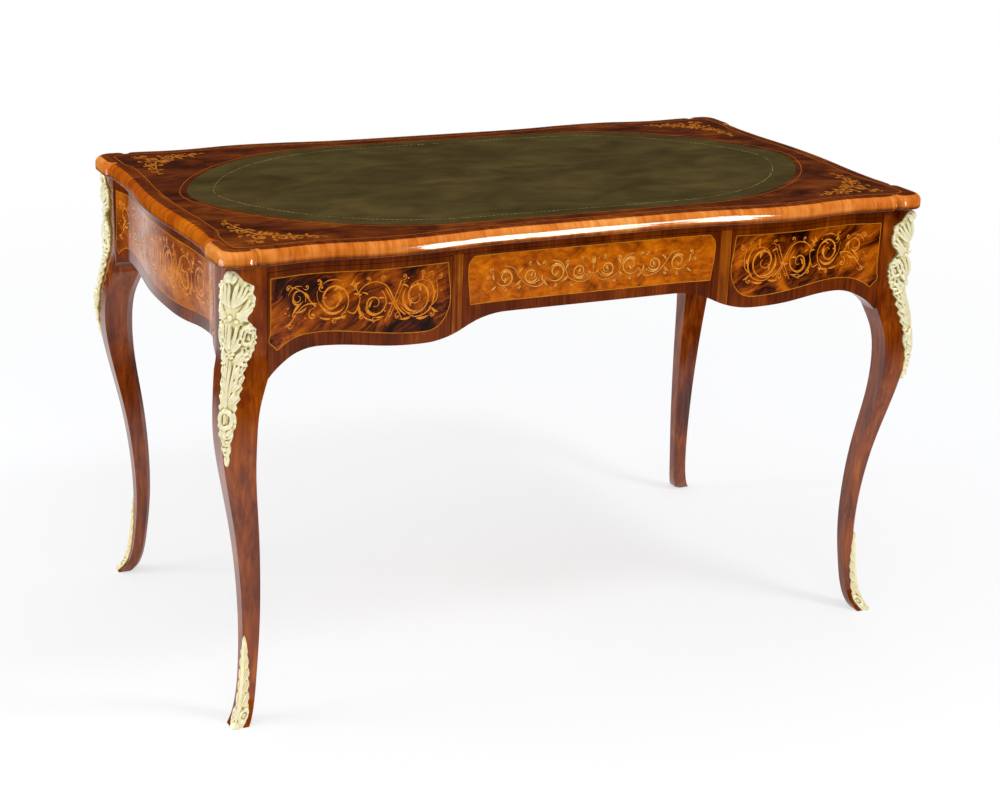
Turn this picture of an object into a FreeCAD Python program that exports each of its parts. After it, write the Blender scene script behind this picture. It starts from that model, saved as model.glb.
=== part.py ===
"""Writing table with a leather top, a serpentine frieze of three drawers and four cabriole legs.

Millimetres. The origin is on the floor under the middle of the table, X runs along the
length, the front faces -Y and Z points up. Every piece is built where it stands.
"""
import FreeCAD
import Part
import Sketcher

import math
import os
import re

V = FreeCAD.Vector

doc = FreeCAD.newDocument("WritingTable")
sheet = doc.addObject("Spreadsheet::Sheet", "Dims")

# Driving sizes: name and value in millimetres
SIZES = {
    # whole table and the layers of the top
    "table_height": 760, "leg_face_x": 597, "leg_face_y": 330, "top_thick": 24, "veneer_thick": 1.2,
    "leather_recess": 0.2, "moulding_width": 22, "moulding_round": 12, "moulding_under": 4, "overhang": 17,
    # level stretches in the middle of the long edge, the long frieze and the end frieze
    "front_flat": 130, "mid_flat": 150, "end_mid_flat": 60,
    # rounds at the ears
    "ear_round": 30, "nose_round": 18, "inner_round": 14,
    # inlaid lines and leather
    "string_inset": 28, "string_width": 1.8, "tip_round": 130, "shoulder_over": 89,
    # frieze
    "rail_height": 12, "stile_width": 18,
    # joints of the frame
    "tenon_thick": 10, "tenon_long": 28, "mortise_spare": 2,
    # drawers and what they run on
    "front_gap": 0.8, "side_gap": 1, "run_gap": 0.3, "runner_high": 12, "runner_wide": 30, "kicker_wide": 12,
    "side_thick": 10, "back_thick": 9, "bottom_thick": 6, "bottom_rise": 6, "groove_deep": 4,
    "tail_long": 13, "tail_wide": 19, "tail_narrow": 14,
    "stop_thick": 12, "stop_high": 14, "stop_wide": 20, "block_size": 20, "block_long": 60,
    "block_inside": 97, "block_outside": 123,
    # mounts
    "mount_thick": 11, "mount_half": 28, "mount_waist": 18,
    "sabot_thick": 5, "sabot_top": 142, "sabot_half": 13, "sabot_lift": 0.4,
    # heights in the lower leg; calf and thigh as shares of the way from the shin to under the knee
    "foot_rise": 0, "toe_rise": 30, "ankle_rise": 80, "shin_rise": 150,
    "calf_share": 4 / 13, "thigh_share": 17 / 26,
}
# Places told from the outer faces of the legs: how far outside them the edges of the top lie
OUTSIDE_ENDS = {"end_bow": 18, "end_dip": 8, "end_crest": 10, "ear_side": 16, "notch_side": 8}
OUTSIDE_FRONT = {"front_mid": 6, "front_bulge": 20.5, "front_dip": 9, "front_crest": 13.5,
                 "ear_front": 16, "notch_front": 8}
# How far inside them the waves turn and the boards, the leather and the drawers end
INSIDE_ENDS = {"bulge_at": 247, "dip_at": 122, "notch_at": 40, "leather_half_length": 49, "end_back": 31,
               "low_at": 307, "side_bottom_at": 142, "stile_inner": 370}
INSIDE_FRONT = {"end_dip_at": 120, "side_notch_at": 70, "leather_half_depth": 49, "frieze_back": 33,
                "end_bottom_at": 105, "drawer_back": 150}
# Levels told from the top of the table downwards
BELOW_TOP = {
    "mid_bottom": 134.5, "low_bottom": 167.5, "side_bottom": 157, "bracket_bottom": 198,
    "end_mid_bottom": 168, "end_bottom": 156.5, "end_bracket": 180, "tenon_bottom": 128, "tenon_top": 38,
    "runner_bottom": 154, "mid_runner_bottom": 131, "kicker_bottom": 48, "drawer_top": 51,
    "mount_top": 29, "mount_tip": 324, "under_knee_rise": 350, "knee_rise": 280, "over_knee_rise": 235,
    "bracket_rise": 195, "block_rise": 160,
}
PLACES = {
    "shoulder_round": "leather_half_depth + shoulder_over",
    "calf_rise": "shin_rise + (under_knee_rise - shin_rise) * calf_share",
    "thigh_rise": "shin_rise + (under_knee_rise - shin_rise) * thigh_share",
}
for distances, base, sign, ending in (
        (OUTSIDE_ENDS, "leg_face_x", "+", "_out"), (OUTSIDE_FRONT, "leg_face_y", "+", "_out"),
        (INSIDE_ENDS, "leg_face_x", "-", "_in"), (INSIDE_FRONT, "leg_face_y", "-", "_in"),
        (BELOW_TOP, "table_height", "-", "_drop")):
    for name, distance in distances.items():
        SIZES[name + ending] = distance
        PLACES[name] = "%s %s %s%s" % (base, sign, name, ending)
# Leg from the floor to the block: how far the faces stand outside the block, and the width
LEG_STATIONS = {
    "foot": (-1, 27), "toe": (-18, 24), "ankle": (-26, 23.5), "shin": (-29, 26), "calf": (-25, 30),
    "thigh": (-13, 36), "under_knee": (5, 44), "knee": (14, 51.5), "over_knee": (12, 55),
    "bracket": (5, 62), "block": (0, 58),
}
for place, (stand, width) in LEG_STATIONS.items():
    SIZES[place + "_stand"] = stand
    SIZES[place + "_width"] = width

for row, (name, size) in enumerate(SIZES.items(), 1):
    sheet.set("A%d" % row, name.replace("_", " "))
    sheet.set("B%d" % row, str(size))
    sheet.setAlias("B%d" % row, name)
doc.recompute()


def full(text):
    """Expression text with places spelled out in sizes and every size name pointed at the sheet."""
    def spell(match):
        name = match.group(1)
        return "(%s)" % full(PLACES[name]) if name in PLACES else "Dims." + name
    return re.sub(r"\b([a-z]\w*)\b(?!\()", spell, text)


def number(text):
    """Value of an expression of sizes."""
    return float(sheet.evalExpression(full(text)))


# Plan and elevation lines: a path is a list of points and a list of bends between them.
# A bend is None for a straight line, or a radius and +1 (turns left) or -1 (turns right).

def wave(points, along):
    """Path through crests and hollows; neighbours are joined by two equal arcs."""
    spots, bends = [points[0]], []
    for (x0, y0), (x1, y1) in zip(points, points[1:]):
        run = "((%s) - (%s))" % (x1, x0)
        rise = "((%s) - (%s))" % (y1, y0)
        if along == "y":
            run, rise = rise, run
        if abs(number(rise)) < 0.01:
            spots.append((x1, y1))
            bends.append(None)
            continue
        radius = "(%s^2 + %s^2) / (4 * abs(%s))" % (run, rise, rise)
        turn = 1 if number(run) * number(rise) > 0 else -1
        if along == "y":
            turn = -turn
        middle = ("((%s) + (%s)) / 2" % (x0, x1), "((%s) + (%s)) / 2" % (y0, y1))
        spots += [middle, (x1, y1)]
        bends += [(radius, turn), (radius, -turn)]
    return spots, bends


def chain(*paths):
    """One path from several, each starting where the last one ended."""
    spots, bends = list(paths[0][0]), list(paths[0][1])
    for more_spots, more_bends in paths[1:]:
        spots += more_spots[1:]
        bends += more_bends
    return spots, bends


def backwards(path):
    """The same path walked the other way."""
    return path[0][::-1], [bend and (bend[0], -bend[1]) for bend in path[1][::-1]]


def flip(path, x_sign, y_sign):
    """Path mirrored to another quarter of the table."""
    def signed(text, sign):
        return text if sign > 0 or text == "0" else "-(%s)" % text
    spots = [(signed(x, x_sign), signed(y, y_sign)) for x, y in path[0]]
    return spots, [bend and (bend[0], bend[1] * x_sign * y_sign) for bend in path[1]]


def loop(*paths):
    """Closed outline of paths joined by straight lines."""
    spots, bends = [], []
    for path in paths:
        spots += path[0]
        bends += path[1] + [None]
    return spots, bends


def draw(sketch, outline):
    """Add a closed outline to a sketch, with its points and radii bound to the sheet."""
    spots, bends = outline
    ends = [V(number(x), number(y), 0) for x, y in spots]
    pieces, rules, texts = [], [], []
    for start, stop, bend in zip(ends, ends[1:] + ends[:1], bends):
        if bend is None:
            pieces.append((sketch.addGeometry(Part.LineSegment(start, stop)), 1, 2))
            continue
        radius, turn = number(bend[0]), bend[1]
        chord = stop - start
        reach = math.sqrt(max(radius ** 2 - chord.Length ** 2 / 4, 0)) * turn
        centre = (start + stop) / 2 + V(-chord.y, chord.x, 0).normalize() * reach
        low, high = (start, stop) if turn > 0 else (stop, start)
        angles = [math.atan2(p.y - centre.y, p.x - centre.x) for p in (low, high)]
        arc = Part.ArcOfCircle(Part.Circle(centre, V(0, 0, 1), radius), angles[0], angles[1])
        pieces.append((sketch.addGeometry(arc), 1 if turn > 0 else 2, 2 if turn > 0 else 1))
    for i, (piece, first, last) in enumerate(pieces):
        following = pieces[(i + 1) % len(pieces)]
        rules.append(Sketcher.Constraint("Coincident", piece, last, following[0], following[1]))
        texts.append(None)
        for kind, axis, text, size in (("DistanceX", -2, spots[i][0], ends[i].x),
                                       ("DistanceY", -1, spots[i][1], ends[i].y)):
            if text == "0":
                rules.append(Sketcher.Constraint("PointOnObject", piece, first, axis))
                texts.append(None)
            else:
                rules.append(Sketcher.Constraint(kind, -1, 1, piece, first, size))
                texts.append(text)
        if bends[i]:
            rules.append(Sketcher.Constraint("Radius", piece, number(bends[i][0])))
            texts.append(bends[i][0])
    for index, text in zip(sketch.addConstraint(rules), texts):
        if text:
            sketch.setExpression("Constraints[%d]" % index, full(text))


def prism(name, plane, outlines, low, high):
    """Body with one sketch on an origin plane, padded from one level to another."""
    body = doc.addObject("PartDesign::Body", name)
    body.Label = name
    sketch = body.newObject("Sketcher::SketchObject", name + "_outline")
    support = [part for part in body.Origin.OriginFeatures if part.Role == plane]
    sketch.AttachmentSupport = [(support[0], "")]
    sketch.MapMode = "FlatFace"
    for outline in outlines:
        draw(sketch, outline)
    pad = body.newObject("PartDesign::Pad", name + "_pad")
    pad.Profile = sketch
    if low is None:
        pad.SideType = "Symmetric"
        pad.setExpression("Length", full(high))
    else:
        sketch.setExpression("AttachmentOffset.Base.z", full(low))
        pad.setExpression("Length", full("(%s) - (%s)" % (high, low)))
    doc.recompute()
    return body


def box(name, x, y, z):
    """Board between two planes on each axis."""
    board = doc.addObject("Part::Box", name)
    board.Label = name
    for side, axis, (low, high) in zip(("Length", "Width", "Height"), "xyz", (x, y, z)):
        board.setExpression(side, full("(%s) - (%s)" % (high, low)))
        board.setExpression("Placement.Base.%s" % axis, full(low))
    return board


def both(sign, low, high):
    """Range of distances from the middle, on the positive or the negative side."""
    return (low, high) if sign > 0 else ("-(%s)" % high, "-(%s)" % low)


def common(name, solids):
    """What the solids share."""
    piece = doc.addObject("Part::MultiCommon", name)
    piece.Label = name
    piece.Shapes = solids
    return piece


def joined(name, solids):
    """One solid from several that touch."""
    piece = doc.addObject("Part::MultiFuse", name)
    piece.Label = name
    piece.Shapes = solids
    piece.Refine = True
    return piece


def mirrored(name, source, axis):
    """Copy of a piece on the other side of the table."""
    copy = doc.addObject("Part::Mirroring", name)
    copy.Label = name
    copy.Source = source
    copy.Normal = V(1, 0, 0) if axis == "x" else V(0, 1, 0)
    return copy


def whole(name, source, axes):
    """Symmetrical piece made from its half or its quarter."""
    for count, axis in enumerate(axes, 1):
        label = name if count == len(axes) else name + "_half"
        source = joined(label, [source, mirrored(label + "_mirror", source, axis)])
    return source


def less(name, solid, tool):
    """Solid with another one cut out of it."""
    piece = doc.addObject("Part::Cut", name)
    piece.Label = name
    piece.Base = solid
    piece.Tool = tool
    return piece


def group(name, solids):
    """Several like pieces kept as one set."""
    pieces = doc.addObject("Part::Compound", name)
    pieces.Label = name
    pieces.Links = solids
    return pieces


nodes = []


def keep(piece):
    """Note a finished piece of the table."""
    nodes.append(piece)
    return piece


# Plan lines of the top

def nose(crest, tip, sideways):
    """How far along the edge the rounded end by a notch begins before it."""
    drop = "((%s) - (%s))" % (crest, tip)
    return "sqrt(2 * nose_round * %s - %s^2) * %d" % (drop, drop, sideways)


def outer_front():
    """Long edge from the middle to the notch."""
    start = "notch_at + %s" % nose("front_crest", "notch_front", -1)
    edge = wave([("0", "front_mid"), ("front_flat", "front_mid"), ("bulge_at", "front_bulge"),
                 ("dip_at", "front_dip"), (start, "front_crest")], "x")
    return chain(edge, ([(start, "front_crest"), ("notch_at", "notch_front")], [("nose_round", -1)]))


def outer_ear():
    """Rounded corner between the two notches."""
    begin = "notch_at + %s" % nose("ear_front", "notch_front", 1)
    finish = "side_notch_at + %s" % nose("ear_side", "notch_side", 1)
    spots = [("notch_at", "notch_front"), (begin, "ear_front"), ("ear_side - ear_round", "ear_front"),
             ("ear_side", "ear_front - ear_round"), ("ear_side", finish), ("notch_side", "side_notch_at")]
    return spots, [("nose_round", -1), None, ("ear_round", -1), None, ("nose_round", -1)]


def outer_end():
    """End edge from the notch to the middle."""
    start = "side_notch_at + %s" % nose("end_crest", "notch_side", -1)
    nose_arc = ([("notch_side", "side_notch_at"), ("end_crest", start)], [("nose_round", -1)])
    edge = wave([("end_crest", start), ("end_dip", "end_dip_at"), ("end_bow", "0")], "y")
    return chain(nose_arc, edge)


def inner_front(inset):
    """Line along the long edge, inside it, from the middle to the corner piece."""
    return wave([("0", "front_mid - " + inset), ("front_flat", "front_mid - " + inset),
                 ("bulge_at", "front_bulge - " + inset), ("dip_at", "front_dip - " + inset),
                 ("notch_at", "ear_front - " + inset)], "x")


def inner_corner(inset):
    """Line round the corner, inside it."""
    side, front = "ear_side - " + inset, "ear_front - " + inset
    spots = [("notch_at", front), (side + " - inner_round", front),
             (side, front + " - inner_round"), (side, "side_notch_at")]
    return spots, [None, ("inner_round", -1), None]


def inner_end(inset):
    """Line along the end, inside it, from the corner piece to the middle."""
    return wave([("ear_side - " + inset, "side_notch_at"), ("end_dip - " + inset, "end_dip_at"),
                 ("end_bow - " + inset, "0")], "y")


def inner_line(inset):
    """A quarter of the line round the top at one distance inside its edge."""
    return chain(inner_front(inset), inner_corner(inset), inner_end(inset))


def leather_edge(outset):
    """A quarter of the line round the leather: straight long sides, ends of two radii."""
    apart = "(shoulder_round - tip_round)"
    down = "(shoulder_round - leather_half_depth)"
    reach = "sqrt(%s^2 - %s^2)" % (apart, down)
    bend_at = "leather_half_length - tip_round - " + reach
    side = "leather_half_depth + " + outset
    meet = ("%s + (shoulder_round + %s) / %s * %s" % (bend_at, outset, apart, reach),
            "%s * (tip_round + %s) / %s" % (down, outset, apart))
    spots = [("0", side), (bend_at, side), meet, ("leather_half_length + " + outset, "0")]
    bends = [None, ("shoulder_round + " + outset, -1), ("tip_round + " + outset, -1)]
    return spots, bends


# Layers of the top
top_under = "table_height - top_thick"
core_top = "table_height - veneer_thick"
string_inner = "(string_inset + string_width)"
core_line = inner_line("moulding_width")
string_line = inner_line("string_inset")
field_line = inner_line(string_inner)
leather_line = leather_edge("0")
leather_string = leather_edge("string_width")
middle = ([("0", "0")], [])
for name, outer, inner, low, high in (
        ("top_board", core_line, middle, top_under, core_top),
        ("top_crossbanding", core_line, string_line, core_top, "table_height"),
        ("edge_stringing", string_line, field_line, core_top, "table_height"),
        ("top_field", field_line, leather_string, core_top, "table_height"),
        ("leather_stringing", leather_string, leather_line, core_top, "table_height"),
        ("leather_top", leather_line, middle, core_top, "table_height - leather_recess")):
    quarter = prism(name + "_quarter", "XY_Plane", [loop(outer, backwards(inner))], low, high)
    keep(whole(name, quarter, "xy"))


# Mouldings round the top: rounded above, a smaller round below
def moulding(name, outer, inner):
    """Edge piece, or half of one, with its outer edges rounded."""
    body = prism(name, "XY_Plane", [loop(outer, backwards(inner))], top_under, "table_height")
    rim = {(round(number(x), 2), round(number(y), 2)) for x, y in outer[0]}
    for level, radius in (("table_height", "moulding_round"), (top_under, "moulding_under")):
        edges = []
        for index, edge in enumerate(body.Shape.Edges, 1):
            spots = [vertex.Point for vertex in edge.Vertexes]
            flat = all(abs(spot.z - number(level)) < 0.01 for spot in spots)
            if flat and all((round(spot.x, 2), round(spot.y, 2)) in rim for spot in spots):
                edges.append("Edge%d" % index)
        before = body.Tip
        fillet = body.newObject("PartDesign::Fillet", name + "_" + radius)
        fillet.Base = (before, edges)
        fillet.setExpression("Radius", full(radius))
        doc.recompute()
    return body


rear_half = moulding("moulding_rear_half", outer_front(), inner_front("moulding_width"))
end_half = moulding("moulding_end_half", outer_end(), inner_end("moulding_width"))
ear = keep(moulding("moulding_ear_rear_right", outer_ear(), inner_corner("moulding_width")))
rear = keep(whole("moulding_rear", rear_half, "x"))
right = keep(whole("moulding_right", end_half, "y"))
keep(mirrored("moulding_front", rear, "y"))
keep(mirrored("moulding_left", right, "x"))
keep(mirrored("moulding_ear_rear_left", ear, "x"))
front_ear = keep(mirrored("moulding_ear_front_right", ear, "y"))
keep(mirrored("moulding_ear_front_left", front_ear, "x"))
CORNERS = {"front_left": (-1, -1), "front_right": (1, -1), "rear_left": (-1, 1), "rear_right": (1, 1)}


# Frieze: plan and elevation shapes that its pieces are cut from
leg_inner_x = "leg_face_x - block_width"
leg_inner_y = "leg_face_y - block_width"
long_plan = wave([("0", "front_mid - overhang"), ("front_flat", "front_mid - overhang"),
                  ("bulge_at", "front_bulge - overhang"), ("dip_at", "front_dip - overhang"),
                  (leg_inner_x, "leg_face_y")], "x")
long_back = ([(leg_inner_x, "frieze_back"), ("0", "frieze_back")], [None])
end_plan = wave([("leg_face_x", leg_inner_y), ("end_dip - overhang", "end_dip_at"),
                 ("end_bow - overhang", "0")], "y")
end_inside = ([("end_back", "0"), ("end_back", leg_inner_y)], [None])


def bracket_arc(level, at, foot_level, foot_at):
    """Arc that leaves the level lower edge and drops to the leg."""
    run = "((%s) - (%s))" % (foot_at, at)
    drop = "((%s) - (%s))" % (level, foot_level)
    radius = "(%s^2 + %s^2) / (2 * %s)" % (run, drop, drop)
    return [(at, level), (foot_at, foot_level)], [(radius, -1)]


long_edge = chain(wave([("0", "mid_bottom"), ("mid_flat", "mid_bottom"), ("low_at", "low_bottom"),
                        ("side_bottom_at", "side_bottom")], "x"),
                  bracket_arc("side_bottom", "side_bottom_at", "bracket_bottom", leg_inner_x))
long_above = ([(leg_inner_x, top_under), ("0", top_under)], [None])
end_edge = chain(wave([("0", "end_mid_bottom"), ("end_mid_flat", "end_mid_bottom"),
                       ("end_bottom_at", "end_bottom")], "x"),
                 bracket_arc("end_bottom", "end_bottom_at", "end_bracket", leg_inner_y))
end_above = ([(leg_inner_y, top_under), ("0", top_under)], [None])

frieze_low = "bracket_bottom - 10"
rear_half = prism("rear_plan_half", "XY_Plane", [loop(long_plan, long_back)], frieze_low, top_under)
rear_plan = whole("rear_plan", rear_half, "x")
front_plan = mirrored("front_plan", rear_plan, "y")
right_half = prism("right_plan_half", "XY_Plane", [loop(end_plan, end_inside)], frieze_low, top_under)
right_plan = whole("right_plan", right_half, "y")
left_plan = mirrored("left_plan", right_plan, "x")
face_half = prism("long_face_half", "XZ_Plane", [loop(long_edge, long_above)], None, "4 * leg_face_y")
long_face = whole("long_face", face_half, "x")
face_half = prism("end_face_half", "YZ_Plane", [loop(end_edge, end_above)], None, "4 * leg_face_x")
end_face = whole("end_face", face_half, "y")

# Tenons of the aprons and the front rail, and the mortises for them
tenon_y = "(leg_face_y + frieze_back - tenon_thick) / 2"
tenon_x = "(leg_face_x + end_back - tenon_thick) / 2"
rail_bottom = top_under + " - rail_height"


def long_tenon(name, x_sign, y_sign, low, high, spare):
    """Tenon at one end of a long rail."""
    reach = leg_inner_x + " + tenon_long" + spare
    return box(name, both(x_sign, leg_inner_x, reach), both(y_sign, tenon_y, tenon_y + " + tenon_thick"),
               (low, high))


def end_tenon(name, x_sign, y_sign, spare):
    """Tenon at one end of an end apron."""
    reach = leg_inner_y + " + tenon_long" + spare
    return box(name, both(x_sign, tenon_x, tenon_x + " + tenon_thick"), both(y_sign, leg_inner_y, reach),
               ("tenon_bottom", "tenon_top"))


rear_tenons = [long_tenon("rear_tenon_%d" % i, sign, 1, "tenon_bottom", "tenon_top", "")
               for i, sign in enumerate((-1, 1))]
keep(joined("apron_rear", [common("apron_rear_board", [rear_plan, long_face])] + rear_tenons))
for name, plan, x_sign in (("left", left_plan, -1), ("right", right_plan, 1)):
    tenons = [end_tenon("%s_tenon_%d" % (name, i), x_sign, sign, "") for i, sign in enumerate((-1, 1))]
    keep(joined("apron_" + name, [common("apron_%s_board" % name, [plan, end_face])] + tenons))
rail_zone = box("front_rail_zone", ("-(%s)" % leg_inner_x, leg_inner_x), ("-2 * leg_face_y", "0"),
                (rail_bottom, top_under))
rail_tenons = [long_tenon("rail_tenon_%d" % i, sign, -1, rail_bottom, top_under, "")
               for i, sign in enumerate((-1, 1))]
keep(joined("front_rail", [common("front_rail_board", [front_plan, rail_zone])] + rail_tenons))


# Legs: lofted square sections with the outer and inner corners planed off
OUTER_BEVEL, INNER_BEVEL, SKIN_BEVEL = 0.2, 0.25, 0.12


def leg_outline(rise, stand, width, skin, inner_bevel, x_sign, y_sign):
    """Closed section of a leg, or of a skin of some thickness over its outer faces."""
    outer_x = number("leg_face_x") + stand
    outer_y = number("leg_face_y") + stand
    bevel = width * (SKIN_BEVEL if skin else OUTER_BEVEL)
    inner_x, inner_y = outer_x - width, outer_y - width
    back = width * inner_bevel
    spots = [(inner_x, inner_y + back), (inner_x + back, inner_y),
             (outer_x + skin, inner_y), (outer_x + skin, outer_y + skin - bevel),
             (outer_x + skin - bevel, outer_y + skin), (inner_x, outer_y + skin)]
    if inner_bevel == 0:
        spots = spots[1:]
    return Part.makePolygon([V(x * x_sign, y * y_sign, rise) for x, y in spots + spots[:1]])


def leg_solid(skin, x_sign, y_sign):
    """Leg from the floor to the top; skin gives for each station how far its outer faces move out."""
    sections = []
    for place in LEG_STATIONS:
        rise, stand, width = (number(place + end) for end in ("_rise", "_stand", "_width"))
        sections.append(leg_outline(rise, stand, width, skin(place), INNER_BEVEL, x_sign, y_sign))
    lower = Part.makeLoft(sections, True, False)
    start = number("block_rise")
    base = leg_outline(start, 0, number("block_width"), skin("block"), 0, x_sign, y_sign)
    block = Part.Face(base).extrude(V(0, 0, number(top_under) - start))
    return lower.fuse(block)


def outside_aprons(x_sign, y_sign):
    """Space at a corner that the drawers and aprons leave to the leg."""
    reach = 3 * number("block_width")
    near_x, near_y = number(leg_inner_x), number(leg_inner_y)
    start = V(near_x if x_sign > 0 else -near_x - reach, near_y if y_sign > 0 else -near_y - reach, 0)
    return Part.makeBox(reach, reach, number("table_height"), start)


def knee_skin(place):
    """Thickness of the knee mount: bold at the top, thin at its tail."""
    bold = {"block": 1, "bracket": 1.05, "over_knee": 0.65}
    return number("mount_thick") * bold.get(place, 0.45)


def toe_skin(place):
    """Thickness of the toe mount."""
    return number("sabot_thick")


def no_skin(place):
    """The bare leg."""
    return 0


def feature(name, shape):
    """Piece shaped in code from the sizes of the sheet."""
    piece = doc.addObject("Part::Feature", name)
    piece.Label = name
    piece.Shape = shape
    return piece


def leaf_prism(outline, x_sign, y_sign):
    """Leaf shape seen along the diagonal of a leg, as a solid through its outer corner."""
    across = V(x_sign, -y_sign, 0) / math.sqrt(2)
    outward = V(x_sign, y_sign, 0) / math.sqrt(2)
    base = V((number("leg_face_x") - 60) * x_sign, (number("leg_face_y") - 60) * y_sign, 0)

    def side(sign):
        curve = Part.BSplineCurve()
        curve.interpolate([base + across * half * sign + V(0, 0, rise) for half, rise in outline])
        return curve.toShape()

    ends = [Part.makeLine(base + across * half + V(0, 0, rise), base - across * half + V(0, 0, rise))
            for half, rise in (outline[0], outline[-1])]
    wire = Part.Wire(Part.__sortEdges__([side(1), side(-1)] + ends))
    return Part.Face(wire).extrude(outward * 140)


mount_top, mount_tip = number("mount_top"), number("mount_tip")
mount_half, mount_waist = number("mount_half"), number("mount_waist")
mount_high = mount_top - mount_tip
knee_leaf = [(0.45 * mount_half, mount_top), (mount_half, mount_top - 0.1 * mount_high),
             (mount_waist, mount_top - 0.24 * mount_high), (mount_half, mount_top - 0.34 * mount_high),
             (0.9 * mount_waist, mount_top - 0.5 * mount_high), (0.6 * mount_waist, mount_top - 0.7 * mount_high),
             (0.3 * mount_waist, mount_top - 0.9 * mount_high), (0.1 * mount_waist, mount_tip)]
sabot_top, sabot_half, sabot_lift = number("sabot_top"), number("sabot_half"), number("sabot_lift")
toe_leaf = [(sabot_half, sabot_lift), (sabot_half, 0.2 * sabot_top), (0.6 * sabot_half, 0.45 * sabot_top),
            (0.4 * sabot_half, 0.75 * sabot_top), (0.1 * sabot_half, sabot_top)]
for corner, (x_sign, y_sign) in CORNERS.items():
    blank = leg_solid(no_skin, x_sign, y_sign).common(outside_aprons(x_sign, y_sign))
    joints = [end_tenon("end_mortise_" + corner, x_sign, y_sign, " + mortise_spare")]
    if y_sign > 0:
        joints.append(long_tenon("rear_mortise_" + corner, x_sign, 1, "tenon_bottom", "tenon_top",
                                 " + mortise_spare"))
    else:
        joints.append(long_tenon("rail_socket_" + corner, x_sign, -1, rail_bottom, top_under, ""))
    mortises = group("mortises_" + corner, joints)
    keep(less("leg_" + corner, feature("leg_blank_" + corner, blank), mortises))
    for name, leaf, skin in (("knee_mount_", knee_leaf, knee_skin), ("sabot_", toe_leaf, toe_skin)):
        shell = leg_solid(skin, x_sign, y_sign).cut(blank)
        casting = shell.common(leaf_prism(leaf, x_sign, y_sign))
        keep(feature(name + corner, max(casting.Solids, key=lambda solid: solid.Volume)))

# Stiles between the drawers and partitions behind them
stile_outer = "stile_inner + stile_width"
front_band = common("front_band", [front_plan, long_face])
for name, x_sign in (("left", -1), ("right", 1)):
    zone = box("stile_zone_" + name, both(x_sign, "stile_inner", stile_outer), ("-2 * leg_face_y", "0"),
               ("0", rail_bottom))
    keep(common("stile_" + name, [front_band, zone]))
    keep(box("partition_" + name, both(x_sign, "stile_inner", stile_outer), ("-frieze_back", "frieze_back"),
             ("runner_bottom", top_under)))

# Drawers: left, centre and right, each between two fixed faces
runner_top = "runner_bottom + runner_high"
mid_runner_top = "mid_runner_bottom + runner_high"
side_span = (stile_outer + " + side_gap", leg_inner_x + " - side_gap")
DRAWERS = {
    "left": (both(-1, side_span[0], side_span[1]), runner_top + " + run_gap"),
    "centre": (("-(stile_inner - side_gap)", "stile_inner - side_gap"), mid_runner_top + " + run_gap"),
    "right": (both(1, side_span[0], side_span[1]), runner_top + " + run_gap"),
}
TAILS = 3
for drawer, ((low_x, high_x), floor) in DRAWERS.items():
    prefix = "drawer_%s_" % drawer
    inner_x = (low_x + " + side_thick", high_x + " - side_thick")
    bottom_z = (floor + " + bottom_rise", floor + " + bottom_rise + bottom_thick")
    panel_x = (inner_x[0] + " - groove_deep", inner_x[1] + " + groove_deep")
    panel_y = ("-frieze_back - groove_deep", "drawer_back")
    panel = box(prefix + "bottom", panel_x, panel_y, bottom_z)
    tails = {"left": [], "right": []}
    pitch = "((drawer_top) - (%s)) / %d" % (floor, TAILS)
    for side, x_range in (("left", (low_x, inner_x[0])), ("right", (inner_x[1], high_x))):
        for i in range(TAILS):
            middle = "%s + %s * %s" % (floor, pitch, i + 0.5)
            tail = doc.addObject("Part::Wedge", prefix + "%s_tail_%d" % (side, i))
            for name, text in (("Xmin", x_range[0]), ("Xmax", x_range[1]),
                               ("X2min", x_range[0]), ("X2max", x_range[1]),
                               ("Ymin", "-frieze_back - tail_long"), ("Ymax", "-frieze_back"),
                               ("Zmin", middle + " - tail_wide / 2"), ("Zmax", middle + " + tail_wide / 2"),
                               ("Z2min", middle + " - tail_narrow / 2"),
                               ("Z2max", middle + " + tail_narrow / 2")):
                tail.setExpression(name, full(text))
            tails[side].append(tail)
        board = box(prefix + side + "_board", x_range, ("-frieze_back", "drawer_back"), (floor, "drawer_top"))
        keep(less(prefix + side + "_side", joined(prefix + side + "_tailed", [board] + tails[side]), panel))
    zone = box(prefix + "zone", (low_x, high_x), ("-2 * leg_face_y", "0"), ("0", rail_bottom + " - front_gap"))
    blank = common(prefix + "front_blank", [front_band, zone])
    keep(less(prefix + "front", blank, group(prefix + "sockets", tails["left"] + tails["right"] + [panel])))
    keep(box(prefix + "back", inner_x, ("drawer_back - back_thick", "drawer_back"), (bottom_z[1], "drawer_top")))
    keep(panel)

# Runners under the drawer sides, kickers over them, stops behind them
runner_y = ("-frieze_back", "frieze_back")
kickers, stops = [], []
for name, x_sign in (("left", -1), ("right", 1)):
    ranges = {"outer": (leg_inner_x + " - %s", leg_inner_x), "inner": (stile_outer, stile_outer + " + %s"),
              "mid": ("stile_inner - %s", "stile_inner")}
    runners = []
    for place, (low, high) in ranges.items():
        low_z, high_z = ("mid_runner_bottom", mid_runner_top) if place == "mid" else ("runner_bottom", runner_top)
        label = "%s_%s" % (name, place)

        def across(wide):
            return both(x_sign, low.replace("%s", wide), high.replace("%s", wide))

        runner = box("runner_" + label, across("runner_wide"), runner_y, (low_z, high_z))
        kickers.append(box("kicker_" + label, across("kicker_wide"), runner_y, ("kicker_bottom", top_under)))
        stops.append(box("stop_" + label, across("stop_wide"), ("drawer_back", "drawer_back + stop_thick"),
                         (high_z, high_z + " + stop_high")))
        runners.append(runner)
    keep(group("runners_" + name, runners))
keep(group("drawer_kickers", kickers))
keep(group("drawer_stops", stops))

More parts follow.
